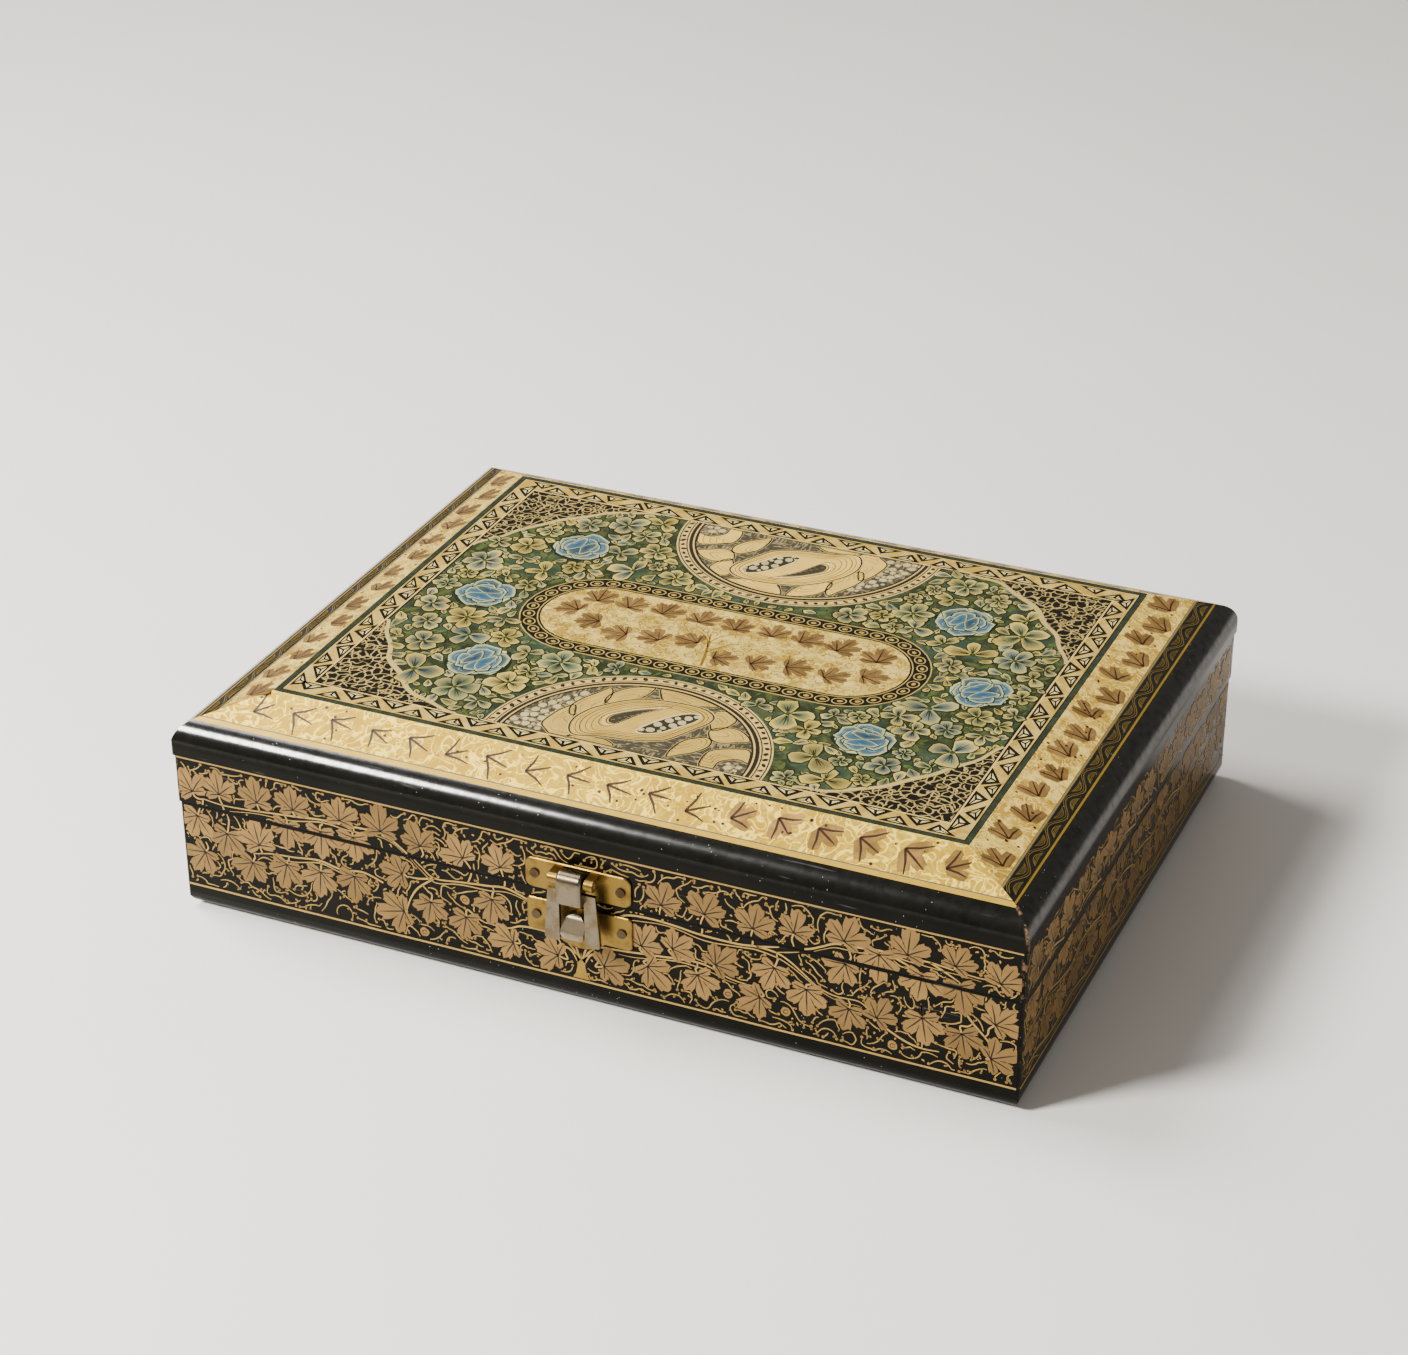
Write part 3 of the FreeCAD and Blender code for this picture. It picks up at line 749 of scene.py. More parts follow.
def netted_black(colours):
    """Black with a cream net of crooked lines, of uneven strength."""
    m = Shade("corner net", IOR=1.45, Specular_IOR_Level=0.2)
    values = {"Vector": m.place, "Scale": 330.0, "Detail": 1.0}
    wave = m.node("ShaderNodeTexNoise", {}, values).outputs["Color"]
    shift = m.node("ShaderNodeVectorMath", {"operation": "SCALE"}, {0: wave, "Scale": 0.0034}).outputs[0]
    place = m.node("ShaderNodeVectorMath", {"operation": "ADD"}, {0: m.place, 1: shift}).outputs[0]
    net = m.cells(2.7, "DISTANCE_TO_EDGE", place, "2D").eased(0.105, 0.05)
    net = net * m.noise(5.0, 2).eased(0.30, 0.46)
    base = m.mix(net, colours.ink, colours.scroll_cream)
    return m.finish(Base_Color=base, Roughness=0.28 + net * 0.1)


def streaked_gold(colours):
    """Buff-gold paint of the medallion petals, drawn out in fine streaks."""
    m = Shade("buff gold", IOR=1.5, Metallic=0.12)
    streak = m.noise(0.8, 4, 0.65, 0.4, m.stretched((0.35, 1.0, 1.0), (0, 0, 0.35)))
    patch = m.noise(6.0, 3)
    gold = colours.petal_gold
    base = m.mix(patch.eased(0.35, 0.7), gold, toned(gold, 1.12, 1.16, 1.3))
    base = m.mix(streak.eased(0.54, 0.72) * 0.5, base, toned(gold, 0.62, 0.52, 0.35))
    return m.finish(Base_Color=m.tinted(base), Roughness=0.28 + streak * 0.15)


def brass(colours):
    """Satin brass sheet: rolled grain, tarnish and rubbed bright edges."""
    m = Shade("satin brass", Metallic=1.0)
    grain = m.noise(0.5, 3, 0.6, 0.0, m.stretched((0.12, 1.0, 1.0)))
    tarnish = m.noise(4.0, 4, 0.6).eased(0.46, 0.70)
    spots = (m.cells(2.4) < 0.12) * m.noise(6.0, 1).eased(0.48, 0.58)
    base = m.mix(tarnish * 0.8, colours.brass, toned(colours.brass, 0.60, 0.54, 0.42))
    base = m.mix(spots * 0.6, base, (0.16, 0.10, 0.04))
    rough = 0.26 + grain * 0.14 + tarnish * 0.12 + spots * 0.3
    return m.finish(Base_Color=base, Roughness=rough, Normal=m.bump(grain, 0.012, 0.35))


def polished_metal(name, colour, rough, spotted):
    """Plated or bare steel: fine polishing lines, small pits and a warm haze."""
    m = Shade(name, Metallic=1.0)
    grain = m.noise(0.4, 3, 0.6, 0.0, m.stretched((1.0, 1.0, 0.10)))
    haze = m.noise(4.0, 3).eased(0.38, 0.66)
    pits = (m.cells(1.1) < 0.14) * m.noise(4.0, 1).eased(0.45, 0.6)
    base = m.mix(haze * 0.8, colour, toned(colour, 0.66, 0.56, 0.40))
    base = m.mix(pits * spotted, base, (0.10, 0.07, 0.04))
    rough = rough + grain * 0.06 + haze * 0.10 + pits * 0.2
    return m.finish(Base_Color=base, Roughness=rough, Normal=m.bump(grain, 0.004, 0.15))


# Leaf and vine painting on the walls, drawn once for each side and shared out between lid and tray

# Front leaves: along the wall, up from the floor, heading in degrees
FRONT_LEAVES = (
    (-120.7, 41.9, 113), (-110.7, 43.0, 92), (-99.1, 43.3, 100), (-87.3, 43.6, 95), (-72.4, 43.8, 90),
    (-59.9, 43.6, 93), (-48.7, 41.5, 110), (-36.6, 40.6, 127), (-24.3, 40.8, 107), (24.8, 41.1, 77),
    (37.5, 41.6, 71), (50.8, 40.8, 79), (62.4, 42.2, 76), (76.6, 43.6, 73), (93.2, 44.0, 85),
    (107.1, 43.6, 67), (119.6, 41.6, 62),
    (-119.8, 27.6, 249), (-110.0, 23.6, 258), (-99.9, 29.2, 105), (-89.6, 31.7, 265), (-78.7, 31.9, 270),
    (-68.1, 32.6, 275), (-57.1, 28.4, 170), (-26.9, 23.3, 262), (19.6, 26.2, 60), (29.6, 26.9, 37),
    (41.9, 25.4, 43), (55.0, 23.7, 250), (74.0, 30.5, 235), (85.2, 35.2, 270), (96.6, 32.0, 265),
    (107.8, 31.6, 280), (119.4, 28.0, 45),
    (-119.0, 16.4, 235), (-102.7, 16.4, 250), (-91.4, 18.4, 255), (-80.2, 18.6, 262), (-69.3, 19.8, 265),
    (-57.3, 14.9, 195), (-45.9, 17.8, 260), (-35.0, 15.6, 262), (-23.6, 13.8, 190), (-10.2, 14.4, 170),
    (10.2, 14.8, 15), (22.4, 15.2, 320), (35.3, 15.6, 290), (49.4, 14.5, 215), (65.2, 19.0, 270),
    (76.2, 16.4, 255), (86.4, 21.6, 60), (97.6, 19.0, 275), (109.0, 17.2, 285), (119.2, 16.4, 25),
)
FRONT_VINES = (
    ((-1.5, 19), (-9, 26), (-20.6, 31.0), (-27.8, 30.6), (-35.8, 29.7), (-43.8, 28.9), (-47.9, 31.7),
     (-52.3, 35.4), (-57.1, 38.4), (-63.5, 39.6), (-69.9, 39.4), (-77.9, 39.3), (-85.9, 38.4),
     (-93.9, 37.6), (-101.9, 36.8), (-109.9, 36.4), (-116, 37.0)),
    ((-43.8, 28.9), (-48.5, 27.6), (-52, 27.4)),
    ((-43.8, 28.9), (-49.0, 24.6), (-51.6, 20.5), (-53, 16.4)),
    ((-60, 23.4), (-66, 25.2), (-73, 24.4), (-80, 25.6), (-88, 24.6), (-95, 24.0), (-101, 22.6)),
    ((1.0, 19), (8, 27), (13, 31.6), (20.2, 32.6), (28.1, 32.2), (35.3, 31.4), (45.4, 31.3),
     (51.0, 31.9), (56.6, 31.5), (60.6, 29.7), (64.6, 26.8), (68.6, 23.9), (73.4, 22.5), (79.8, 22.6),
     (83, 20.4)),
    ((51.0, 31.9), (57.4, 33.4), (65.4, 35.2), (69.4, 37.0), (73.4, 38.9), (79.8, 39.4), (86.2, 40.0),
     (92.6, 39.8), (99, 40.0), (105.4, 39.4), (111.8, 38.8), (116.2, 39.2)),
    ((86.2, 40.0), (91, 38.3), (95.8, 36.6)),
    ((99, 40.0), (103, 38.2), (107, 36.2)),
    ((108.6, 27.4), (111, 24.4), (115, 20.3), (116, 18)),
    ((87, 16.6), (92.6, 13.9), (97.4, 12.9), (102.2, 13.2)),
    ((3.0, 19.6), (12.2, 20.3), (18.6, 21.0), (24.2, 21.6), (31.3, 22.4), (36.9, 22.2), (44, 19.8),
     (52, 19.2)),
    ((-3.0, 19.6), (-12.0, 20.6), (-18, 20.2), (-22, 18.6), (-29, 18.6)),
)
TRUNK = (
    (-2.6, 8.2), (-1.7, 9.6), (-1.15, 12.0), (-1.3, 14.2), (-2.2, 16.0), (-1.0, 15.2), (-0.4, 14.4),
    (0.0, 16.6), (0.4, 14.4), (1.0, 15.2), (2.2, 16.0), (1.3, 14.2), (1.15, 12.0), (1.7, 9.6),
    (2.6, 8.2),
)
BRANCHES = (
    ((-1.0, 13.4), (-2.8, 16.4), (-5.2, 17.2), (-7.4, 16.8)),
    ((1.0, 13.4), (2.8, 16.4), (5.2, 17.2), (7.4, 16.8)),
    ((-0.8, 13.6), (-2.2, 17.0), (-4.6, 19.2)),
    ((0.8, 13.6), (2.2, 17.0), (4.6, 19.2)),
    ((-0.4, 14), (-1.2, 17.2), (-2.6, 20.4)),
    ((0.4, 14), (1.2, 17.2), (2.6, 20.4)),
)
TRUNK_TINT = (1.05, 1.12, 0.62)
# Leaves between the hinges, where the front has its latch
BACK_LEAVES = (
    (-12, 41.4, 80), (0, 42.0, 95), (12, 41.2, 105), (-13, 27.6, 250), (0, 29.0, 265), (13, 28.0, 285),
)
HINGE_PLACES, HINGE_HALF, HINGE_LOW, HINGE_HIGH = (-75.0, 75.0), 13.4, 31.4, 37.0
LEAF_LENGTH = 8.0
# How far a leaf's middle lies from its stalk, as a share of its length
STALK_SHARE = 0.42
# Length of a stalk that reaches no stem
LONE_STALK = 3.4
# Bare lacquer at the seam of tray and lid: on all walls, and more on the ends
SEAM_MARGIN, END_SEAM = 0.6, 0.9


def corners(left, right, low, high):
    return [(left, low), (right, low), (right, high), (left, high)]


def end_design(rng, half):
    """Leaves and vines of a wall without a tree of its own: three rows of leaves on waving stems."""
    leaves, vines = [], []
    rows = ((42.6, 90, 0.0, 35), (29.6, 265, 0.5, 30), (16.6, 255, 0.15, 30))
    for z, heading, shift, swing in rows:
        count = round(2 * half / 12.6)
        for i in range(count):
            s = -half + (i + 0.5) * 2 * half / count + (shift - 0.25) * 3.0 + rng.uniform(-0.9, 0.9)
            lean = -swing * s / half
            leaves.append((s, z + rng.uniform(-1.2, 1.2), heading + lean + rng.uniform(-14, 14)))
    for level, sway, step in ((36.6, 1.4, 9.0), (23.2, 1.6, 9.0)):
        count = int(half / step)
        for way in (-1, 1):
            vines.append(tuple(
                (way * (i * step + 0.5), level + sway * math.sin(i * 1.9 + way) + rng.uniform(-0.4, 0.4))
                for i in range(count + 1)
            ))
    lowest = np.linspace(-half + 4, half - 4, 22).tolist()
    vines.append(tuple((s, 10.8 + math.sin(s * 0.21)) for s in lowest))
    return leaves, vines


class WallDesign:
    """All shapes of one wall, in millimetres along the wall and up from the floor."""

    def __init__(self, side):
        rng = self.rng = random.Random(311 + 17 * side)
        self.half = (TRAY_END if side % 2 == 0 else TRAY_FRONT) - 1.0
        self.leaves, self.veins, self.lines, self.spots = [], [], [], []
        span = (-self.half, self.half, TRAY_LOW[2] + 1.2, LID_HIGH[2] - 1.1)
        self.room = Room(span)
        if side == 0:
            leaves, vines = FRONT_LEAVES, FRONT_VINES
            self.plant_tree()
            for node in ("latch_lid_plate", "latch_tray_plate"):
                low, high = node_box(node)
                self.room.take(corners(low[0], high[0], low[2], high[2]))
        elif side == 2:
            leaves = [(-s, t, 180 - h) for s, t, h in FRONT_LEAVES] + list(BACK_LEAVES)
            vines = [tuple((-s, t) for s, t in vine) for vine in FRONT_VINES]
            self.plant_tree()
            for s in HINGE_PLACES:
                self.room.take(corners(s - HINGE_HALF, s + HINGE_HALF, HINGE_LOW, HINGE_HIGH))
        else:
            leaves, vines = end_design(rng, self.half)
        for vine in vines:
            self.vine(vine)
        for s, t, heading in leaves:
            self.leaf(s, t, heading)
        self.stalks(vines)
        self.fill_gaps()

    def plant_tree(self):
        self.spots.append((TRUNK, TRUNK_TINT))
        self.room.take(TRUNK)
        for branch in BRANCHES:
            line = smooth(branch, 5)
            self.lines.append((line, 0.6, (1.0, 0.4), 1.0))
            self.room.take_line(line, 0.7)

    def vine(self, points):
        line = smooth(points, 7)
        self.lines.append((line, 0.55, (1.0, 0.5), 1.0))
        self.room.take_line(line, 0.6)
        if len(points) > 5:
            # A second, thinner gold line just below a long stem, in the stem's own gold
            twin_line = [(s + 0.25, t - 1.15 + 0.35 * math.sin(s * 0.3)) for s, t in line[6:-6]]
            self.lines.append((twin_line, 0.36, (0.3, 0.3), 1.0))
            self.room.take_line(twin_line, 0.5)

    def leaf(self, s, t, heading):
        rng = self.rng
        outline, veins = VINE_LEAF.draw(rng)
        length = LEAF_LENGTH * rng.uniform(0.95, 1.07)
        base = polar(s, t, -STALK_SHARE * length, math.radians(heading))
        shape = moved(outline, *base, heading, length)
        shade = rng.uniform(0.72, 1.06)
        self.leaves.append((shape, shade, base, heading))
        self.veins += [(moved(v, *base, heading, length), 0.40 if len(v) > 2 else 0.32) for v in veins]
        self.room.take(shape)

    def stalks(self, vines):
        """A curved stalk from each leaf to the nearest stem."""
        stems = [p for vine in vines for p in smooth(vine, 4)]
        for _, _, (s, t), heading in self.leaves:
            a = math.radians(heading)
            root = min(stems, key=lambda p: math.hypot(p[0] - s, p[1] - t) + 0.3 * abs(p[0] - s))
            gap = math.hypot(root[0] - s, root[1] - t)
            if gap > 14 or gap < 0.6:
                gap = LONE_STALK
                root = polar(s, t, -gap, a + 0.5)
            knee = polar(s, t, -0.45 * gap, a)
            sag = ((root[0] + knee[0]) / 2 + 0.3, (root[1] + knee[1]) / 2 - 0.4)
            line = smooth([root, sag, knee, (s, t)], 4)
            self.lines.append((line, 0.5, (0.6, 1.0), 1.0))
            self.room.take_line(line, 0.55)

    def fill_gaps(self):
        """A few rosettes, then curling tendrils, commas and dots in what is left."""
        rng = self.rng
        for s, t in self.room.spots(rng, 1.75, 60):
            self.spots.append((wavy_disc(rng, s, t, 1.45), knob_tint(rng.uniform(0.95, 1.15))))
            ring = oval(s, t, 0.75, 0.6, rng.uniform(0, 90), 8)
            self.veins.append((ring + ring[:1], 0.24))
            self.room.take_disc(s, t, 1.95)
        for clear, tries in ((1.0, 1800), (0.78, 2600), (0.66, 2200)):
            for s, t in self.room.spots(rng, clear, tries):
                self.tendril(s, t)
        for s, t in self.room.spots(rng, 0.56, 1500):
            a = rng.uniform(0, math.pi)
            d = rng.uniform(0.2, 0.6)
            comma = [polar(s, t, -d, a), (s + 0.12, t + 0.1), polar(s, t, d, a)]
            self.lines.append((comma, 0.5, (0.5, 0.8), 0.85))
            self.room.take_disc(s, t, 0.8)

    def grow(self, points, heading):
        """Adds to a shoot for as long as there is room ahead."""
        rng = self.rng
        bend = rng.choice((-1, 1)) * rng.uniform(0.06, 0.30)
        for _ in range(rng.randint(3, 10)):
            x, y = points[-1]
            for lean in (bend, 0.0, 2 * bend, -bend, 0.5, -0.5, 0.9, -0.9):
                p = polar(x, y, 0.75, heading + lean)
                crowded = any(math.hypot(p[0] - q[0], p[1] - q[1]) < 1.2 for q in points[:-2])
                if self.room.free(*p, 0.40) and not crowded:
                    points.append(p)
                    heading += lean
                    break
            else:
                break
            if rng.random() < 0.08:
                bend = -bend

    def tendril(self, s, t):
        """A shoot that feels its way through the free room at both ends, with short knobbed side shoots."""
        rng = self.rng
        heading, points = rng.uniform(0, 2 * math.pi), [(s, t)]
        for way in (heading, heading + math.pi):
            points.reverse()
            self.grow(points, way)
        if len(points) < 4:
            return
        tone = rng.uniform(0.78, 0.96)
        self.lines.append((smooth(points, 2), 0.40, (0.5, 0.5), tone))
        self.spots.append((wavy_disc(rng, *points[-1], 0.45, 7), knob_tint(tone * 1.3)))
        for i in range(1, len(points) - 1):
            if rng.random() < 0.26:
                (ax, ay), (bx, by) = points[i - 1], points[i + 1]
                a = math.atan2(by - ay, bx - ax) + rng.choice((-1, 1)) * rng.uniform(0.8, 1.4)
                x, y = points[i]
                d = rng.uniform(0.7, 1.25)
                q = polar(x, y, d, a)
                if self.room.free(*q, 0.33):
                    m = polar(x, y, d * 0.5, a + 0.3)
                    self.lines.append(([(x, y), m, q], 0.36, (1.0, 0.9), tone))
                    self.spots.append((wavy_disc(rng, *q, 0.36, 6), knob_tint(tone * 1.3)))
                    self.room.take_disc(*q, 0.6)
        for p in points:
            self.room.take_disc(*p, 0.95)


def knob_tint(tone):
    """The tint of knobs and rosettes, a little warmer than the leaves."""
    return toned((1.06, 1.04, 0.94), tone)


def wavy_disc(rng, s, t, r, count=12):
    """A hand-painted round, a little uneven."""
    wobble = [rng.uniform(0.86, 1.08) for _ in range(count)]
    return [polar(s, t, r * w, 2 * math.pi * i / count) for i, w in enumerate(wobble)]


WALLS = {}


def wall_design(side):
    """The design of a wall, drawn the first time and shared by tray and lid."""
    if side not in WALLS:
        WALLS[side] = WallDesign(side)
    return WALLS[side]


def paint_walls(body, front, end, low, high, edge_line, colours):
    """Leaves, stems and veins on the four walls of the tray or the lid, and a gold line along one edge."""
    names = ("leaves", "vines", "leaf_veins")
    leaves, vines, veins = (Paint(f"{body}_{name}", body, "black_lacquer") for name in names)
    for side in range(4):
        design = wall_design(side)
        half = (end if side % 2 == 0 else front) - 1.0
        z0, z1 = low, high
        if side == 2:
            z0, z1 = (max(low, HINGE_HIGH), high) if body == "lid" else (low, min(high, HINGE_LOW))
        elif side % 2:
            z0, z1 = (low + END_SEAM, high) if body == "lid" else (low, high - END_SEAM)
        window = (-half, half, z0, z1)
        span = (-half, half, low - 1.5, high + 1.5)
        for paint in (leaves, vines, veins):
            paint.on(wall_face(side, front, end), span, side_tile(side))
        for n, (shape, shade, _, _) in enumerate(design.leaves):
            leaves.fill_in(window, shape, SHAPE + OVERLAP * (n % 3), toned(PLAIN, shade))
        for shape, tint in design.spots:
            leaves.fill_in(window, shape, SECOND, tint)
        for line, width, taper, tone in design.lines:
            vines.stroke_in(window, line, width, SECOND, toned(PLAIN, tone), taper)
        for line, width in design.veins:
            veins.stroke_in(window, line, width, LINE, PLAIN, (1.0, 0.35))
        s = half + 0.2
        steps = [(-s + 2 * s * i / 24, edge_line + 0.04 * math.sin(i * 1.7)) for i in range(25)]
        vines.stroke(steps, 0.55, SHAPE)
    leaves.make(gilt("leaf bronze", colours.leaf, 0.82, 0.22, 0.38))
    vines.make(gilt("stem gold", colours.stem, 0.86, 0.25, 0.36))
    veins.make(line_paint("vein black", colours.vein, 0.35))


def lid_paints(*names):
    """New paints for the lid's top."""
    return [Paint(name, "lid", "painted_top") for name in names]


# Border painting on the four slopes

# Where a hip ends just before the shoulder, and the depth at which the border's leaves lie
HIP_END = SHOULDER_X - 0.05
LEAF_ROW = 6.0
# Distances down a slope from its crease: end of the cream, then lines ruled below it
CREAM_SIDES, CREAM_ENDS = 13.15, 12.5
GREY_SIDES, GREY_ENDS = ((13.15, 13.45),), ((12.5, 12.75), (13.05, 13.3))
GOLD_SIDES = ((13.5, 15.1, 0.05, PLAIN),)
GOLD_ENDS = ((12.75, 13.05, 0.1, (0.8, 0.8, 0.8)), (17.6, 18.2, 0.05, (0.62, 0.60, 0.60)))
TWIST_MIDDLE = 15.4
# Cream of the front, right, back and left slope, tinted slope by slope as painted light: the right lighter,
# the front more golden
BORDER_LIT_TINTS = ((1.20, 1.17, 0.62), (1.42, 1.38, 1.30), (0.95, 0.88, 0.66), (1.0, 0.98, 0.92))


def slope_half(side, d):
    """Half the length of a slope at a distance from its crease."""
    if side % 2:
        return FLAT_Y + END_HIP * d
    return min(FLAT_X + SIDE_HIP * d, HIP_END)


def slope_strip(side, near, far, shy=0.0):
    """Outline of a strip of a slope between two distances from its crease, mitred at the hips."""
    turn_in = (HIP_END - FLAT_X) / SIDE_HIP
    rows = [near, far] if side % 2 or not near < turn_in < far else [near, turn_in, far]
    right = [(slope_half(side, d) - shy, -d) for d in rows]
    return right + [(-s, t) for s, t in reversed(right)]


def slope_span(side):
    half = slope_half(side, SIDE_SLANT)
    return -half, half, -END_SLANT, 0.5


def border_leaf_places(side, rng):
    """Where the border's leaves grow: one after the other round the box."""
    ends = side % 2
    half = slope_half(side, LEAF_ROW) - (5.5 if ends else 8.0)
    count = round(2 * half / 11.6)
    for i in range(count + 1):
        s = -half + 2 * half * i / count
        depth = (-5.4 if i % 2 else -7.6) if ends else -6.7
        heading = rng.uniform(10, 70) if ends else rng.uniform(-40, 40)
        heading = 180 - heading if side == 3 else heading
        yield s + rng.uniform(-0.4, 0.4), depth + rng.uniform(-0.4, 0.4), heading


def paint_border(colours):
    """Cream slopes with a row of brown leaves, ruled lines, and a twisting gold stem along each end."""
    ground, leaves, veins, golds, greys = paints = lid_paints(
        "border_ground", "border_leaves", "border_leaf_veins", "border_gold_lines", "border_thin_lines"
    )
    for side in range(4):
        rng = random.Random(900 + side)
        for paint in paints:
            paint.on(slope_face(side), slope_span(side), side_tile(side))
        ends = side % 2
        reach = CREAM_ENDS if ends else CREAM_SIDES
        # Each slope's cream carries its own painted-light tint for how light falls on that slope
        ground.fill(slope_strip(side, 0.0, reach), GROUND, BORDER_LIT_TINTS[side])
        for near, far in GREY_ENDS if ends else GREY_SIDES:
            greys.fill(slope_strip(side, near, far), SECOND)
        for near, far, shy, tint in GOLD_ENDS if ends else GOLD_SIDES:
            golds.fill(slope_strip(side, near, far, shy), SECOND, tint)
        if ends:
            twist_band(golds, side, TWIST_MIDDLE, rng)
        window = (-200, 200, -reach + 0.3, -0.3)
        for s, t, heading in border_leaf_places(side, rng):
            outline, spines = SMALL_LEAF.draw(rng)
            length = rng.uniform(7.4, 8.4)
            base = polar(s, t, -STALK_SHARE * length, math.radians(heading))
            shape = clipped(moved(outline, *base, heading, length), window)
            shade = rng.uniform(0.88, 1.15)
            # Painted sheen on the front slope: leaves left of 20 to 50 mm get no fill, the rest grow paler
            # towards the left and more golden; painted light makes the right slope's leaves lighter
            if shape and (side or s > rng.uniform(20, 50)):
                painted_light_shade = shade * (2.0 - s / 150, 1.45, 1.0, 1.0)[side]
                leaves.fill(shape, SHAPE, (painted_light_shade, painted_light_shade, painted_light_shade * (1.0 if side else 0.85)))
            for spine in spines:
                line = moved(spine, *base, heading, length * (1.0 if side else 1.06))
                veins.stroke_in(window, line, 0.46 if side else 0.66, LINE, PLAIN, (1.0, 0.5))
        half = slope_half(side, LEAF_ROW) - 4.0
        for _ in range(int(half / 2.2)):
            s, t = rng.uniform(-half, half), rng.uniform(-reach + 1.0, -1.0)
            veins.fill(wavy_disc(rng, s, t, rng.uniform(0.22, 0.55), 7), LINE, (1.3, 1.0, 0.6))
    ground.make(cream_ground("border cream", colours.cream, colours.scroll_gold, colours.cream_pale, 1.0))
    leaves.make(stained_leaf("border leaf brown", colours.brown_leaf))
    veins.make(line_paint("border vein brown", colours.brown_vein, 0.35))
    golds.make(gilt("edge gold", colours.edge_gold, 0.85, 0.2, 0.26))
    greys.make(line_paint("ruled grey", colours.grey_line, 0.35))


def twist_band(paint, side, middle, rng):
    """A waving gold stem along the black band, with a folded leaf in each bend, drawn in fine lines."""
    half = slope_half(side, middle) - 1.0
    count = int(2 * half / 7.4)
    step = 2 * half / count
    for lift, width in ((0.0, 0.27), (0.62, 0.17)):
        bends = [lift + 1.45 * math.sin(math.pi * i / 6) for i in range(6 * count + 1)]
        wave = [(-half + step * i / 6, -middle + bend) for i, bend in enumerate(bends) if abs(bend) < 2.0]
        paint.stroke(wave, width, SECOND, (0.32, 0.33, 0.66))
    for i in range(count):
        s, way = -half + step * (i + 0.5), (-1 if i % 2 == 0 else 1)
        tone = rng.uniform(0.26, 0.40)
        tint = (tone, tone * 1.05, tone * 1.8)
        for bulge, width in ((1.15, 0.26), (0.55, 0.16), (0.0, 0.22), (-0.5, 0.16)):
            blade = [
                (s - 3.1, -middle + way * 1.5), (s - 1.0, -middle + way * (0.85 - bulge * 0.7)),
                (s + 1.4, -middle + way * (0.8 - bulge * 0.6)), (s + 3.3, -middle + way * 1.3),
            ]
            paint.stroke(smooth(blade, 4), width, SHAPE, tint, (0.4, 0.4))


# The flat panel: triangle band, corner scrolls, flower field, cartouche and medallions

# Half the length and width of the flower field, the triangle band and the cartouche, in millimetres
FIELD_X, FIELD_Y = 93.6, 67.7
BAND_X, BAND_Y = FLAT_X - 1.75, FLAT_Y - 1.75
FIELD_CORNER = ((FIELD_X, 26.0), (86.8, 38.5), (79.3, 49.2), (70.2, 58.6), (61.0, 64.9), (50.0, FIELD_Y))
CARTOUCHE_X, CARTOUCHE_Y = 62.0, 23.2
# Width of the cartouche's black band of rings, and the medallions' radius
RING_BAND = 5.9
MEDALLION_R = 41.0
ROSES = ((-62.8, 38.1), (-75.5, -0.9), (-57.9, -38.5), (59.3, 38.1), (77.7, 0.6), (57.8, -36.9))


def rectangle(x, y):
    return corners(-x, x, -y, y)


def corner_curve():
    """The curve that cuts a corner off the flower field."""
    return smooth([(FIELD_X, 20.0), *FIELD_CORNER, (44.0, FIELD_Y)], 5)[5:-5]


def field_outline():
    """The lobed outline of the flower field."""
    corner = corner_curve()
    corner = [(x + 0.35 * math.sin(y * 0.9), y + 0.35 * math.sin(x * 0.9)) for x, y in corner]
    corner = [(min(x, FIELD_X), min(y, FIELD_Y)) for x, y in corner]
    left = [(-x, y) for x, y in reversed(corner)]
    return corner + left + [(-x, -y) for x, y in corner] + [(x, -y) for x, y in reversed(corner)]


def stadium(x, y, count=18):
    """A bar with rounded ends."""
    ring = []
    for way in (1, -1):
        for i in range(count + 1):
            ring.append(polar(way * (x - y), 0.0, y, math.radians(-90 * way + 180 * i / count)))
        ring += [(way * (x - y) * (1 - k / 5), way * y) for k in range(1, 10)]
    return ring


def along(ring, spacing):
    """Evenly spaced places round a ring: point, direction in degrees."""
    lengths = [math.dist(a, b) for a, b in zip(ring, ring[1:] + ring[:1])]
    total = sum(lengths)
    count = round(total / spacing)
    places, walked, i = [], 0.0, 0
    for k in range(count):
        goal = total * k / count
        while walked + lengths[i] < goal:
            walked += lengths[i]
            i += 1
        a, b = ring[i], ring[(i + 1) % len(ring)]
        direction = math.degrees(math.atan2(b[1] - a[1], b[0] - a[0]))
        places.append((*between(a, b, (goal - walked) / lengths[i]), direction))
    return places


def triangle_marks(shape):
    """Three slim marks inside a triangle, one along each side."""
    middle, inner = middle_of(shape), grown(shape, 0.60)
    for a, b in zip(inner, inner[1:] + inner[:1]):
        yield [between(a, b, 0.12), between(b, a, 0.12), between(middle, between(a, b, 0.5), 0.32)]


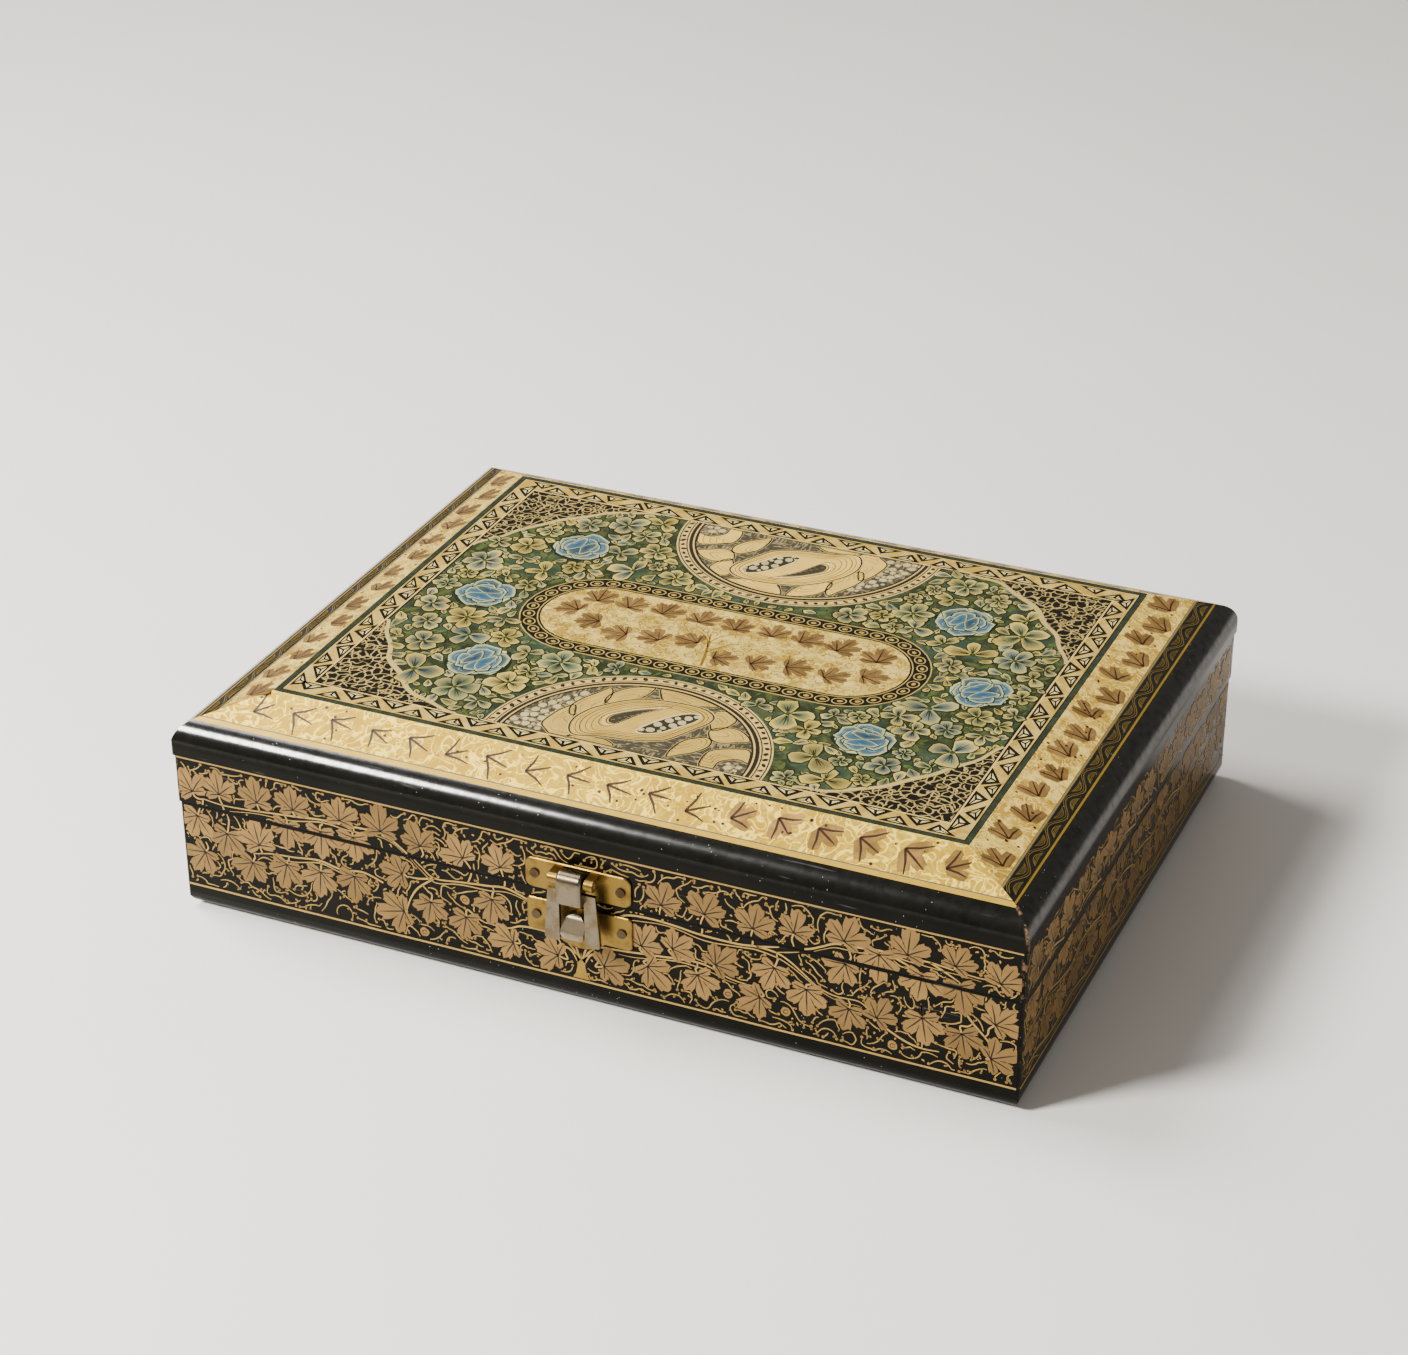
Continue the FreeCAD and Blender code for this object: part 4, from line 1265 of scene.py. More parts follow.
def paint_band(colours):
    """Green line at the crease and the band of triangles inside it."""
    rng = random.Random(41)
    green, ground, black, marks = lid_paints(
        "panel_green_line", "triangle_band_ground", "triangles", "triangle_marks"
    )
    green.band(rectangle(FLAT_X - 0.15, FLAT_Y - 0.15), rectangle(BAND_X, BAND_Y), GROUND)
    ground.band(rectangle(BAND_X, BAND_Y), rectangle(FIELD_X, FIELD_Y), GROUND)
    for side in range(4):
        along_x = side % 2 == 0
        half, edge = (BAND_X, BAND_Y) if along_x else (BAND_Y, BAND_X)
        depth = edge - (FIELD_Y if along_x else FIELD_X)
        run = half - 4.0
        count = round(2 * run / 13.2)
        turn = 90 * side
        for i in range(count):
            s = -run + 2 * run * (i + 0.5) / count
            for at, wide, tall, low, way in ((-3.2, 4.9, 4.6, 0.75, -1), (3.6, 4.2, 4.1, 0.75, 1)):
                middle = s + at + rng.uniform(-0.4, 0.4)
                base = -edge + (depth - low if way < 0 else low)
                tip = (middle + rng.uniform(-2.2, 2.2), base + way * tall)
                shape = [(middle - wide, base), (middle + wide, base), tip]
                black.fill(moved(shape, 0, 0, turn), SECOND)
                for bit in triangle_marks(shape):
                    tint = (0.8, 0.78, 0.7) if rng.random() < 0.4 else PLAIN
                    marks.fill(moved(bit, 0, 0, turn), SHAPE, tint)
    ring = rectangle(FIELD_X + 0.25, FIELD_Y + 0.25)
    marks.band(rectangle(FIELD_X + 0.9, FIELD_Y + 0.9), ring, SECOND, (0.95, 0.82, 0.6))
    black.band(ring, rectangle(FIELD_X - 0.05, FIELD_Y - 0.05), SECOND)
    black.band(rectangle(BAND_X + 0.1, BAND_Y + 0.1), rectangle(BAND_X - 0.2, BAND_Y - 0.2), SECOND)
    green.make(line_green(colours))
    ground.make(cream_ground("band buff", colours.buff, colours.scroll_gold, colours.cream, 0.35))
    black.make(line_paint("ink black", colours.ink, 0.3))
    marks.make(line_paint("mark cream", colours.mark_cream, 0.35))


def paint_corners(colours):
    """Black spandrels in the panel's corners, with cream scrolls and a curved cream edging."""
    ground, scrolls = lid_paints("corner_ground", "corner_scrolls")
    curve = corner_curve()
    for n, (fx, fy) in enumerate(((1, 1), (-1, 1), (-1, -1), (1, -1))):
        rng = random.Random(70 + n)
        line = [(x * fx, y * fy) for x, y in curve]
        corner = line + [(FIELD_X * fx, FIELD_Y * fy)]
        ground.fill(corner, GROUND)
        edging = [(x + 0.5 * fx * math.sin(y * 0.5), y + 0.5 * fy * math.sin(x * 0.45)) for x, y in line]
        scrolls.stroke(edging, 1.7, SHAPE, toned(PLAIN, 1.25), (0.6, 0.6))
        xs, ys = [p[0] for p in corner], [p[1] for p in corner]
        room = Room((min(xs), max(xs), min(ys), max(ys)), 0.2)
        room.leave_only(corner)
        room.take_line(line, 1.1)
        for clear, tries, r, taken in ((1.9, 40, 1.7, 1.85), (1.15, 60, 1.05, 1.2)):
            for s, t in room.spots(rng, clear, tries):
                scroll(scrolls, rng, s, t, r)
                room.take_disc(s, t, taken)
        for s, t in room.spots(rng, 0.62, 160):
            a = rng.uniform(0, 2 * math.pi)
            bend = rng.uniform(-0.5, 0.5)
            d = rng.uniform(0.7, 1.4)
            bow = (s + bend * math.sin(a), t - bend * math.cos(a))
            tail = [polar(s, t, -d, a), bow, polar(s, t, d, a)]
            scrolls.stroke(smooth(tail, 3), 0.42, SECOND, taper=(0.5, 0.7))
            room.take_disc(s, t, 0.68)
    ground.make(netted_black(colours))
    scrolls.make(line_paint("scroll cream", colours.scroll_cream, 0.34))


def curl(s, t, r, start, turn, shrink, count):
    """A line that curls in on itself, each step turned and shrunk by as much."""
    return [polar(s, t, r * (1 - shrink * i), start + turn * i) for i in range(count)]


def scroll(paint, rng, s, t, r):
    """A small scroll that curls in on itself, with a leaf at its outer end."""
    start, way = rng.uniform(0, 2 * math.pi), rng.choice((-1, 1))
    line = curl(s, t, r, start, way * 0.62, 0.075, 11)
    paint.stroke(line, 0.40 if r > 1.2 else 0.34, SECOND, taper=(0.9, 0.5))
    paint.stroke([line[0], polar(s, t, 1.15 * r, start - way * 0.5)], 0.6, SECOND, taper=(1, 0.4))


# Flowers: one petal along its length, and the colours of rims and hearts
PETAL = ((0.0, -0.05), (0.24, -0.26), (0.52, -0.42), (0.82, -0.42), (0.98, -0.20), (1.0, 0.08), (0.9, 0.34),
         (0.6, 0.43), (0.26, 0.25), (0.0, 0.05))
CREAM_RIM, WHITE_RIM, BLUE_RIM = (0.62, 0.46, 0.088), (0.60, 0.475, 0.120), (0.45, 0.39, 0.125)
TEAL_HEART, BLUE_HEART, SAND_HEART = (0.034, 0.080, 0.060), (0.014, 0.066, 0.098), (0.17, 0.14, 0.045)
ROSE_RIM, ROSE_HEART, ROSE_DEEP = (0.42, 0.44, 0.22), (0.008, 0.062, 0.122), (0.003, 0.030, 0.064)
# How much each petal of a flower lies above the last, its paint above its dark edge, and lines above it
PETAL_STEP, PETAL_PAINT, PETAL_LINES = 0.018, 0.003, 0.019


def uneven(rng, shape, by):
    """A shape with its points moved a little, as a hand would."""
    return [(x * rng.uniform(1 - by, 1 + by), y * rng.uniform(1 - by, 1 + by)) for x, y in shape]


def edged_petal(paint, lines, shape, spot, height, rim, heart, share, pale=0.28, edge=0.55):
    """A petal with a dark line round it: the line is a slightly larger shape just below."""
    middle = middle_of(shape)
    size = max(math.dist(p, middle) for p in shape)
    lines.fill(grown(shape, 1 + edge / size), height)
    paint.petal(shape, spot, height + PETAL_PAINT, rim, heart, share, pale)


def flower(paint, lines, rng, s, t, r, height):
    """A flower seen from above or from the side: a fan of petals, with fine lines down them."""
    spread = rng.choice((360, 360, 250, 200, 160))
    count = max(3, round(spread / rng.choice((56, 64, 72))))
    start = rng.uniform(0, 360)
    rim = rng.choice((CREAM_RIM, CREAM_RIM, WHITE_RIM, BLUE_RIM))
    heart = rng.choice((TEAL_HEART, BLUE_HEART, SAND_HEART, BLUE_HEART, BLUE_HEART, TEAL_HEART))
    if spread < 360:
        s, t = polar(s, t, -0.38 * r, math.radians(start + spread / 2))
        r = r * 1.28
    for i in range(count):
        heading = start + spread * i / (count if spread == 360 else count - 1) + rng.uniform(-9, 9)
        reach = r * rng.uniform(0.80, 1.06)
        wide = 4.9 / (count * 360 / spread) * rng.uniform(0.85, 1.08)
        shape = [(x, y * wide) for x, y in uneven(rng, PETAL, 0.09)]
        spot = polar(s, t, 0.26 * reach, math.radians(heading))
        tone = rng.uniform(0.56, 0.98)
        level = height + PETAL_STEP * i
        edged_petal(
            paint, lines, moved(shape, s, t, heading, reach), spot, level,
            toned(rim, tone), toned(heart, tone), rng.uniform(0.50, 0.66),
        )
        for lean, width in ((-11, 0.24), (0, 0.36), (11, 0.24)):
            line = ((0.14, 0.0), (0.40, 0.01), (rng.uniform(0.5, 0.78), 0.0))
            line = moved(line, s, t, heading + lean, reach)
            lines.stroke(line, width, level + PETAL_LINES, taper=(1, 0.3))
    lines.fill(wavy_disc(rng, s, t, 0.10 * r, 7), height + PETAL_STEP * count + 0.01, (3.5, 3.2, 1.6))


def rose(paint, lines, rng, s, t, r):
    """A blue rose: rings of broad pale-edged petals that overlap towards the heart."""
    lines.fill(wavy_disc(rng, s, t, r * 1.05, 20), SECOND)
    paint.fill(wavy_disc(rng, s, t, r * 0.97, 18), SECOND + 0.006, ROSE_RIM)
    height = SHAPE
    for count, reach in ((5, 1.0), (4, 0.70), (2, 0.46)):
        start = rng.uniform(0, 360)
        for i in range(count):
            heading = start + 360 * i / count + rng.uniform(-10, 10)
            shape = [(x, y * 6.0 / count * 0.95) for x, y in uneven(rng, PETAL, 0.08)]
            length = r * reach * rng.uniform(0.9, 1.04)
            spot = polar(s, t, 0.42 * length, math.radians(heading))
            deep = ROSE_DEEP if rng.random() < 0.4 else ROSE_HEART
            shape = moved(shape, s, t, heading, length)
            edged_petal(paint, lines, shape, spot, height, ROSE_RIM, deep, 0.77, 0.12, 0.36)
            glint = moved(((0.62, -0.18), (0.80, -0.02), (0.78, 0.16)), s, t, heading, length)
            paint.stroke(glint, 0.3, height + PETAL_LINES, (0.16, 0.27, 0.32), (0.2, 0.2))
            height += PETAL_STEP


def loose_petal(paint, lines, rng, s, t, r, height):
    """A single petal or bud drifting in the field."""
    rim = rng.choice((CREAM_RIM, WHITE_RIM, BLUE_RIM, CREAM_RIM))
    heart = rng.choice((TEAL_HEART, SAND_HEART, BLUE_HEART, BLUE_HEART))
    tone = rng.uniform(0.6, 1.05)
    shape = [((x - 0.5) * 2, y * rng.uniform(1.2, 1.8)) for x, y in uneven(rng, PETAL, 0.1)]
    heading = rng.uniform(0, 360)
    spot = polar(s, t, -0.35 * r, math.radians(heading))
    edged_petal(
        paint, lines, moved(shape, s, t, heading, r), spot, height, toned(rim, tone), toned(heart, tone),
        rng.uniform(0.45, 0.65),
    )
    line = moved(((-0.8, 0), (0.0, 0.05), (0.6, 0)), s, t, heading, r)
    lines.stroke(line, 0.28, height + PETAL_LINES, taper=(1, 0.3))


def paint_field(colours):
    """Green field crowded with flowers round six blue roses."""
    rng = random.Random(2024)
    ground, petals, roses, lines, leaves = lid_paints(
        "field_ground", "field_flowers", "field_roses", "field_lines", "field_leaves"
    )
    outline = field_outline()
    ground.fill(outline, GROUND)
    room = Room((-FIELD_X, FIELD_X, -FIELD_Y, FIELD_Y), 0.3)
    room.leave_only(outline)
    room.take(stadium(CARTOUCHE_X + 0.8, CARTOUCHE_Y + 0.8))
    for y in (-FIELD_Y, FIELD_Y):
        room.take_disc(0, y, MEDALLION_R + 0.8)
    for s, t in ROSES:
        r = rng.uniform(8.5, 9.2)
        rose(roses, lines, rng, s, t, r)
        room.take_disc(s, t, r + 0.4)
    for r, tries in ((6.9, 260), (5.7, 900), (4.5, 2000), (3.5, 3200)):
        for s, t in room.spots(rng, r * 0.90, tries):
            size, lift = r * rng.uniform(0.93, 1.04), rng.uniform(0, 0.012)
            flower(petals, lines, rng, s, t, size, SHAPE - 0.01 + lift)
            room.take_disc(s, t, r * 0.90)
    for r, tries in ((2.5, 5000), (1.9, 9000), (1.3, 12000)):
        for s, t in room.spots(rng, r * 0.66, tries):
            if rng.random() < 0.78:
                loose_petal(petals, lines, rng, s, t, r, SECOND + rng.uniform(0, 0.02))
            else:
                shape = moved([((x - 0.5) * 2, y) for x, y in PETAL], s, t, rng.uniform(0, 360), r)
                leaves.fill(shape, SECOND, (1, rng.uniform(0.85, 1.15), 0.9))
            room.take_disc(s, t, r * 0.74)
    for s, t in room.spots(rng, 0.55, 9000):
        a, d = rng.uniform(0, 2 * math.pi), rng.uniform(0.6, 1.1)
        bit = [polar(s, t, -d, a), (s, t + 0.15), polar(s, t, d, a)]
        leaves.stroke(bit, rng.uniform(0.4, 0.8), SECOND, (1.1, 1.15, 0.9), (0.3, 0.3))
        room.take_disc(s, t, 0.72)
    ground.make(green_ground(colours))
    petals.make(enamel("flower enamel"))
    roses.make(enamel("rose enamel", 0.20, 0.0))
    lines.make(line_paint("flower line", colours.flower_line, 0.35))
    leaves.make(stained_leaf("field leaf green", colours.field_leaf))


# Cartouche leaves: along, up, heading in degrees
CARTOUCHE_LEAVES = (
    (-43.4, 12.0, 95), (-32.4, 11.6, 80), (-21.4, 12.0, 75), (-10.4, 11.6, 85), (0.6, 11.4, 90),
    (11.6, 11.8, 95), (22.6, 11.4, 60), (33.6, 11.0, 70), (44.2, 9.4, 100), (-49.6, 2.2, 160),
    (-41.0, -4.6, 200), (-30.6, -7.8, 185), (-20.4, -5.0, 150), (-10.0, -3.4, 170), (5.6, -9.2, 20),
    (16.0, -7.4, 35), (26.8, -6.0, 20), (37.8, -6.2, 40), (48.2, -2.6, 20),
)
# A twig in the middle: each line's width and its points
CARTOUCHE_TWIGS = (
    (0.8, ((0.5, -16.2), (-0.8, -10.5), (-2.6, -4.0), (-4.6, 2.6))),
    (0.32, ((-1.4, -8.0), (1.6, -3.6), (3.6, -1.2), (7.2, 0.6))),
    (0.32, ((-2.2, -5.4), (-4.6, -0.6), (-8.2, 2.6), (-11.0, 3.6))),
    (0.3, ((-3.0, -2.6), (-1.4, 1.6), (0.8, 4.0), (2.4, 6.2))),
    (0.3, ((-3.6, -0.6), (-5.6, 2.4), (-6.2, 5.6))),
)


def paint_cartouche(colours):
    """The bar in the middle: a black band of gold rings round a cream ground with brown leaves."""
    rng = random.Random(5)
    ground, band, rings, leaves, veins, scrolls = lid_paints(
        "cartouche_ground", "cartouche_band", "cartouche_rings", "cartouche_leaves", "cartouche_leaf_veins",
        "cartouche_scrolls",
    )

    def bar(inset):
        """The cartouche's outline drawn in by a distance."""
        return stadium(CARTOUCHE_X - inset, CARTOUCHE_Y - inset)

    rings.band(bar(0.0), bar(0.38), SHAPE)
    band.fill(bar(0.3), SECOND)
    rings.band(bar(RING_BAND - 0.7), bar(RING_BAND - 0.35), SHAPE)
    ground.fill(bar(RING_BAND + 0.25), SHAPE)
    for s, t, heading in along(bar(2.85), 4.9):
        wide, tall = rng.uniform(2.0, 2.25), rng.uniform(1.6, 1.85)
        rim = oval(s, t, wide, tall, heading, 14)
        rings.band(rim, oval(s, t, wide - 0.36, tall - 0.34, heading, 14), LINE)
        bead = oval(rng.uniform(-0.2, 0.3), 0, 0.86, 0.6, 0, 9)
        rings.fill(moved(bead, s, t, heading), SHAPE, (0.9, 0.9, 0.8))
    for s, t, heading in CARTOUCHE_LEAVES:
        outline, spines = FAN_LEAF.draw(rng)
        length = rng.uniform(8.0, 8.8)
        base = polar(s, t, -0.5 * length, math.radians(heading))
        leaves.fill(moved(outline, *base, heading, length), LINE, toned(PLAIN, rng.uniform(0.92, 1.22)))
        for spine in spines:
            if len(spine) > 2:
                width = 0.46 if rng.random() < 0.6 else 0.22
                veins.stroke(moved(spine, *base, heading, length), width, FINE, taper=(1.0, 0.3))
    room = Room((-CARTOUCHE_X, CARTOUCHE_X, -CARTOUCHE_Y, CARTOUCHE_Y), 0.3)
    room.leave_only(bar(RING_BAND + 1.2))
    for width, twig in CARTOUCHE_TWIGS:
        scrolls.stroke(smooth(twig, 5), width, LINE, (0.85, 0.82, 0.8), (1.0, 0.3))
    for s, t in room.spots(rng, 1.0, 1500):
        start, way = rng.uniform(0, 2 * math.pi), rng.choice((-1, 1))
        line = curl(s, t, 1.5, start, way * 0.6, 0.09, 7)
        scrolls.stroke(line, 0.22, SHAPE + 0.012, (0.62, 0.56, 0.5), (0.8, 0.4))
        room.take_disc(s, t, 1.25)
    ground.make(cream_ground("cartouche cream", colours.cream, colours.scroll_gold, colours.cream_pale, 0.8))
    band.make(line_paint("band black", colours.ink, 0.26))
    rings.make(gilt("ring gold", colours.ring_gold, 0.85, 0.15, 0.3))
    leaves.make(stained_leaf("cartouche leaf brown", colours.brown_leaf))
    veins.make(line_paint("cartouche vein brown", colours.brown_vein, 0.35))
    scrolls.make(gilt("scroll gold", colours.scroll_gold, 0.9, 0.3, 0.3))


# Medallions: points along and up from the straight edge
TEARDROP = (
    (-18.2, 6.1), (-18.8, 10.9), (-17.3, 16.1), (-14.9, 19.7), (-11.0, 24.0), (-6.1, 27.3), (0.7, 28.9),
    (6.6, 29.4), (12.3, 28.7), (15.9, 25.9), (16.0, 22.1), (13.8, 17.9), (11.3, 13.0), (9.0, 9.4),
    (5.5, 7.2), (0.6, 5.6), (-4.0, 4.8), (-8.6, 4.0), (-12.9, 2.4), (-16.0, 2.6),
)
DARK_DROP = (
    (-9.8, 13.1), (-9.8, 15.6), (-7.7, 18.2), (-3.9, 21.4), (0.7, 23.8), (-1.4, 21.3), (-4.0, 18.2),
    (-5.8, 14.8), (-7.3, 12.3), (-8.7, 11.9),
)
PEBBLE_DROP = (
    (-0.4, 10.9), (0.9, 14.7), (4.0, 19.9), (7.4, 23.9), (11.0, 25.6), (12.9, 23.9), (11.8, 20.2),
    (8.9, 16.3), (6.5, 12.7), (3.7, 10.6), (1.1, 9.9),
)
PEBBLE_ZONES = (
    ((-36.0, 0.5), (-33.5, 9.0), (-29.0, 18.0), (-22.5, 26.0), (-20.0, 24.0), (-22.0, 16.0),
     (-25.2, 8.0), (-23.0, 0.5)),
    ((27.5, 0.5), (27.5, 4.0), (30.5, 6.0), (33.6, 4.4), (34.5, 0.5)),
)
LOTUS = (
    ((-20.1, 12.9), (-22.0, 16.5), (-21.3, 20.6), (-19.2, 24.8), (-17.2, 28.5), (-15.5, 25.8),
     (-15.3, 20.8), (-17.3, 16.1)),
    ((-25.1, 4.9), (-24.7, 9.6), (-23.6, 13.3), (-21.7, 15.7), (-19.9, 11.7), (-19.1, 7.0),
     (-16.6, 2.4), (-20.0, 0.4), (-22.6, 2.2)),
    ((-14.1, 22.6), (-14.8, 26.1), (-13.1, 30.0), (-10.1, 32.6), (-6.5, 34.0), (-6.2, 31.9),
     (-7.0, 28.3), (-10.0, 24.8)),
    ((0.6, 29.2), (-1.6, 31.7), (-2.6, 34.4), (0.6, 34.6), (5.1, 34.2), (10.7, 32.8), (13.4, 31.8),
     (10.8, 30.4), (6.5, 29.7)),
    ((15.6, 26.4), (15.9, 28.6), (18.3, 29.4), (21.3, 27.4), (21.8, 25.3), (20.8, 22.3), (18.6, 19.8),
     (16.8, 22.4)),
    ((18.6, 18.2), (19.7, 20.3), (22.8, 21.7), (26.1, 20.9), (29.2, 17.8), (26.7, 16.1), (23.1, 14.2),
     (20.3, 15.1)),
    ((13.4, 2.2), (13.0, 6.7), (14.4, 11.2), (17.7, 13.9), (20.0, 13.0), (20.3, 10.0), (18.5, 6.6),
     (15.7, 4.1)),
    ((24.0, 0.4), (22.7, 3.4), (22.9, 8.0), (26.2, 10.7), (31.3, 12.0), (33.6, 6.4), (30.5, 7.2),
     (27.0, 4.6), (26.8, 0.4)),
    ((-14.9, 0.6), (-11.2, 2.6), (-6.3, 2.8), (-3.8, 0.6)),
)
PETAL_SWELL = 1.16
RING_MARKS = 42
RING_TINT, RIM_TINT, EDGE_TINT = (0.86, 0.74, 0.56), (0.8, 0.76, 0.64), (0.42, 0.38, 0.32)
LINE_TINT, GLINT_TINT = (1.35, 1.05, 0.62), (4.0, 3.5, 2.5)
# The back medallion gets less light in its place, so its paint is paler
FRONT_GLOW, BACK_GLOW = 1.0, 1.4


def half_ring(r, count=44):
    """Points round a half circle on the straight edge."""
    ring = [polar(0.0, 0.0, r, math.pi * i / count) for i in range(count + 1)]
    return [(s, max(t, 0.0)) for s, t in ring]


def trimmed(shape):
    """A shape kept inside a medallion's rim."""
    kept = []
    for s, t in clipped(shape, (-MEDALLION_R, MEDALLION_R, 0.25, MEDALLION_R)):
        k = min(1.0, (MEDALLION_R - 6.0) / max(math.hypot(s, t), 1e-6))
        kept.append((s * k, t * k))
    return kept


def paint_medallions(colours):
    """Half-round medallions at the front and back of the panel, with a curled teardrop among petals."""
    ground, rims, petals, pebbles, dark = lid_paints(
        "medallion_ground", "medallion_rims", "medallion_petals", "medallion_pebbles", "medallion_dark_lines"
    )
    for way, glow in ((1, FRONT_GLOW), (-1, BACK_GLOW)):
        rng = random.Random(77 + way)

        def put(shape):
            """From the medallion's own place, with its straight edge along s, to the panel."""
            return [(way * s, way * (t - FIELD_Y)) for s, t in shape]

        ground.fill(put(half_ring(MEDALLION_R - 1.0)), SECOND)
        rims.fill(put(half_ring(MEDALLION_R) + half_ring(MEDALLION_R - 3.7)[::-1]), SHAPE, RING_TINT)
        for inset, width, paint, tint in (
            (0.7, 0.36, dark, EDGE_TINT), (3.1, 0.36, dark, EDGE_TINT), (4.3, 1.0, dark, EDGE_TINT),
            (5.1, 0.5, rims, RING_TINT), (5.7, 0.5, dark, EDGE_TINT),
        ):
            paint.stroke(put(half_ring(MEDALLION_R - inset)), width, LINE, tint)
        for i in range(RING_MARKS):
            r = MEDALLION_R - 1.9 + rng.uniform(-0.2, 0.2)
            spot = polar(0.0, 0.0, r, math.pi * (i + 0.5) / RING_MARKS)
            if spot[1] > 0.8:
                mark = oval(*spot, rng.uniform(0.8, 1.25), rng.uniform(0.55, 0.8), rng.uniform(0, 180), 5)
                dark.fill(put(mark), LINE, EDGE_TINT)
        for n, outline in enumerate(LOTUS):
            shape = trimmed(grown(smooth(outline, 4, True), PETAL_SWELL))
            height = SHAPE + 0.006 * (n % 3)
            petals.fill(put(shape), height, toned(PLAIN, rng.uniform(0.88, 1.06) * glow))
            rims.trace(put(shape), 0.75, height - 0.002, RIM_TINT)
            dark.trace(put(shape), 0.48, LINE - 0.0085, EDGE_TINT)
            root = min(shape, key=lambda p: math.dist(p, (-1, 15)))
            for k in (0.84, 0.66, 0.48, 0.30):
                bow = grown(shape, k, root)
                first = rng.randint(0, len(bow) - 1)
                bow = (bow + bow)[first:first + int(len(bow) * 0.7)]
                dark.stroke(put(bow), 0.2, LINE - 0.0095, LINE_TINT, (0.4, 0.4))
        body = smooth(TEARDROP, 4, True)
        petals.fill(put(body), LINE - 0.006, toned((1.02, 1.0, 0.98), glow))
        for k, width, paint, lift, tint in (
            (1.02, 0.5, rims, 0.010, (0.8, 0.75, 0.62)), (1.0, 0.48, dark, 0.014, EDGE_TINT),
            (0.92, 0.18, dark, 0.014, LINE_TINT), (0.86, 0.26, dark, 0.014, EDGE_TINT),
            (0.78, 0.18, dark, 0.014, LINE_TINT), (0.70, 0.18, dark, 0.014, LINE_TINT),
        ):
            paint.trace(put(grown(body, k, (-1.0, 17.0))), width, LINE + lift, tint)
        drop = smooth(DARK_DROP, 3, True)
        dark.fill(put(drop), FINE, toned(PLAIN, 0.8))
        for k, width, paint, tint in (
            (1.45, 0.2, dark, EDGE_TINT), (1.25, 0.5, rims, PLAIN), (1.1, 0.24, dark, EDGE_TINT),
        ):
            paint.trace(put(grown(drop, k, (-5.2, 17.0))), width, FINE + 0.005, tint)
        for k in range(7):
            s, t = -9.2 + 1.25 * k, 13.6 + 1.35 * k
            dark.stroke(put([(s, t), (s + 1.0, t + 0.4)]), 0.24, FINE + 0.012, GLINT_TINT)
        bed = smooth(PEBBLE_DROP, 3, True)
        dark.fill(put(bed), FINE, toned(PLAIN, 0.6))
        rims.trace(put(bed), 0.5, FINE + 0.005)
        for zone, height in [(bed, FINE + 0.02)] + [(zone, SECOND + 0.01) for zone in PEBBLE_ZONES]:
            free = Room((-36.5, 36.5, 0.3, 36), 0.2)
            free.leave_only(zone)
            scatter_pebbles(pebbles, rng, free, put, height)
    ground.make(hatched_ground(colours))
    rims.make(line_paint("medallion cream", colours.mark_cream, 0.32))
    petals.make(streaked_gold(colours))
    pebbles.make(enamel("pebble white", 0.24, 0.3))
    dark.make(line_paint("medallion grey", colours.hatch, 0.32))


def scatter_pebbles(paint, rng, bed, put, height):
    """Pale cells packed in a bed, the large ones first."""
    for r in (1.35, 1.0, 0.7):
        for s, t in bed.spots(rng, r * 0.9, 2500):
            tint = toned((0.46, 0.38, 0.18), rng.uniform(0.8, 1.05))
            paint.fill(put(wavy_disc(rng, s, t, r * 0.98, 7)), height, tint)
            bed.take_disc(s, t, r + 0.12)


# Settings


def swatch(name, description, default):
    """A colour that can be set."""
    return FloatVectorProperty(
        name=name, description=description, subtype="COLOR", size=3, min=0.0, max=1.0, default=default
    )


def number(name, description, default, **kind):
    """A number that can be set."""
    return FloatProperty(name=name, description=description, default=default, **kind)


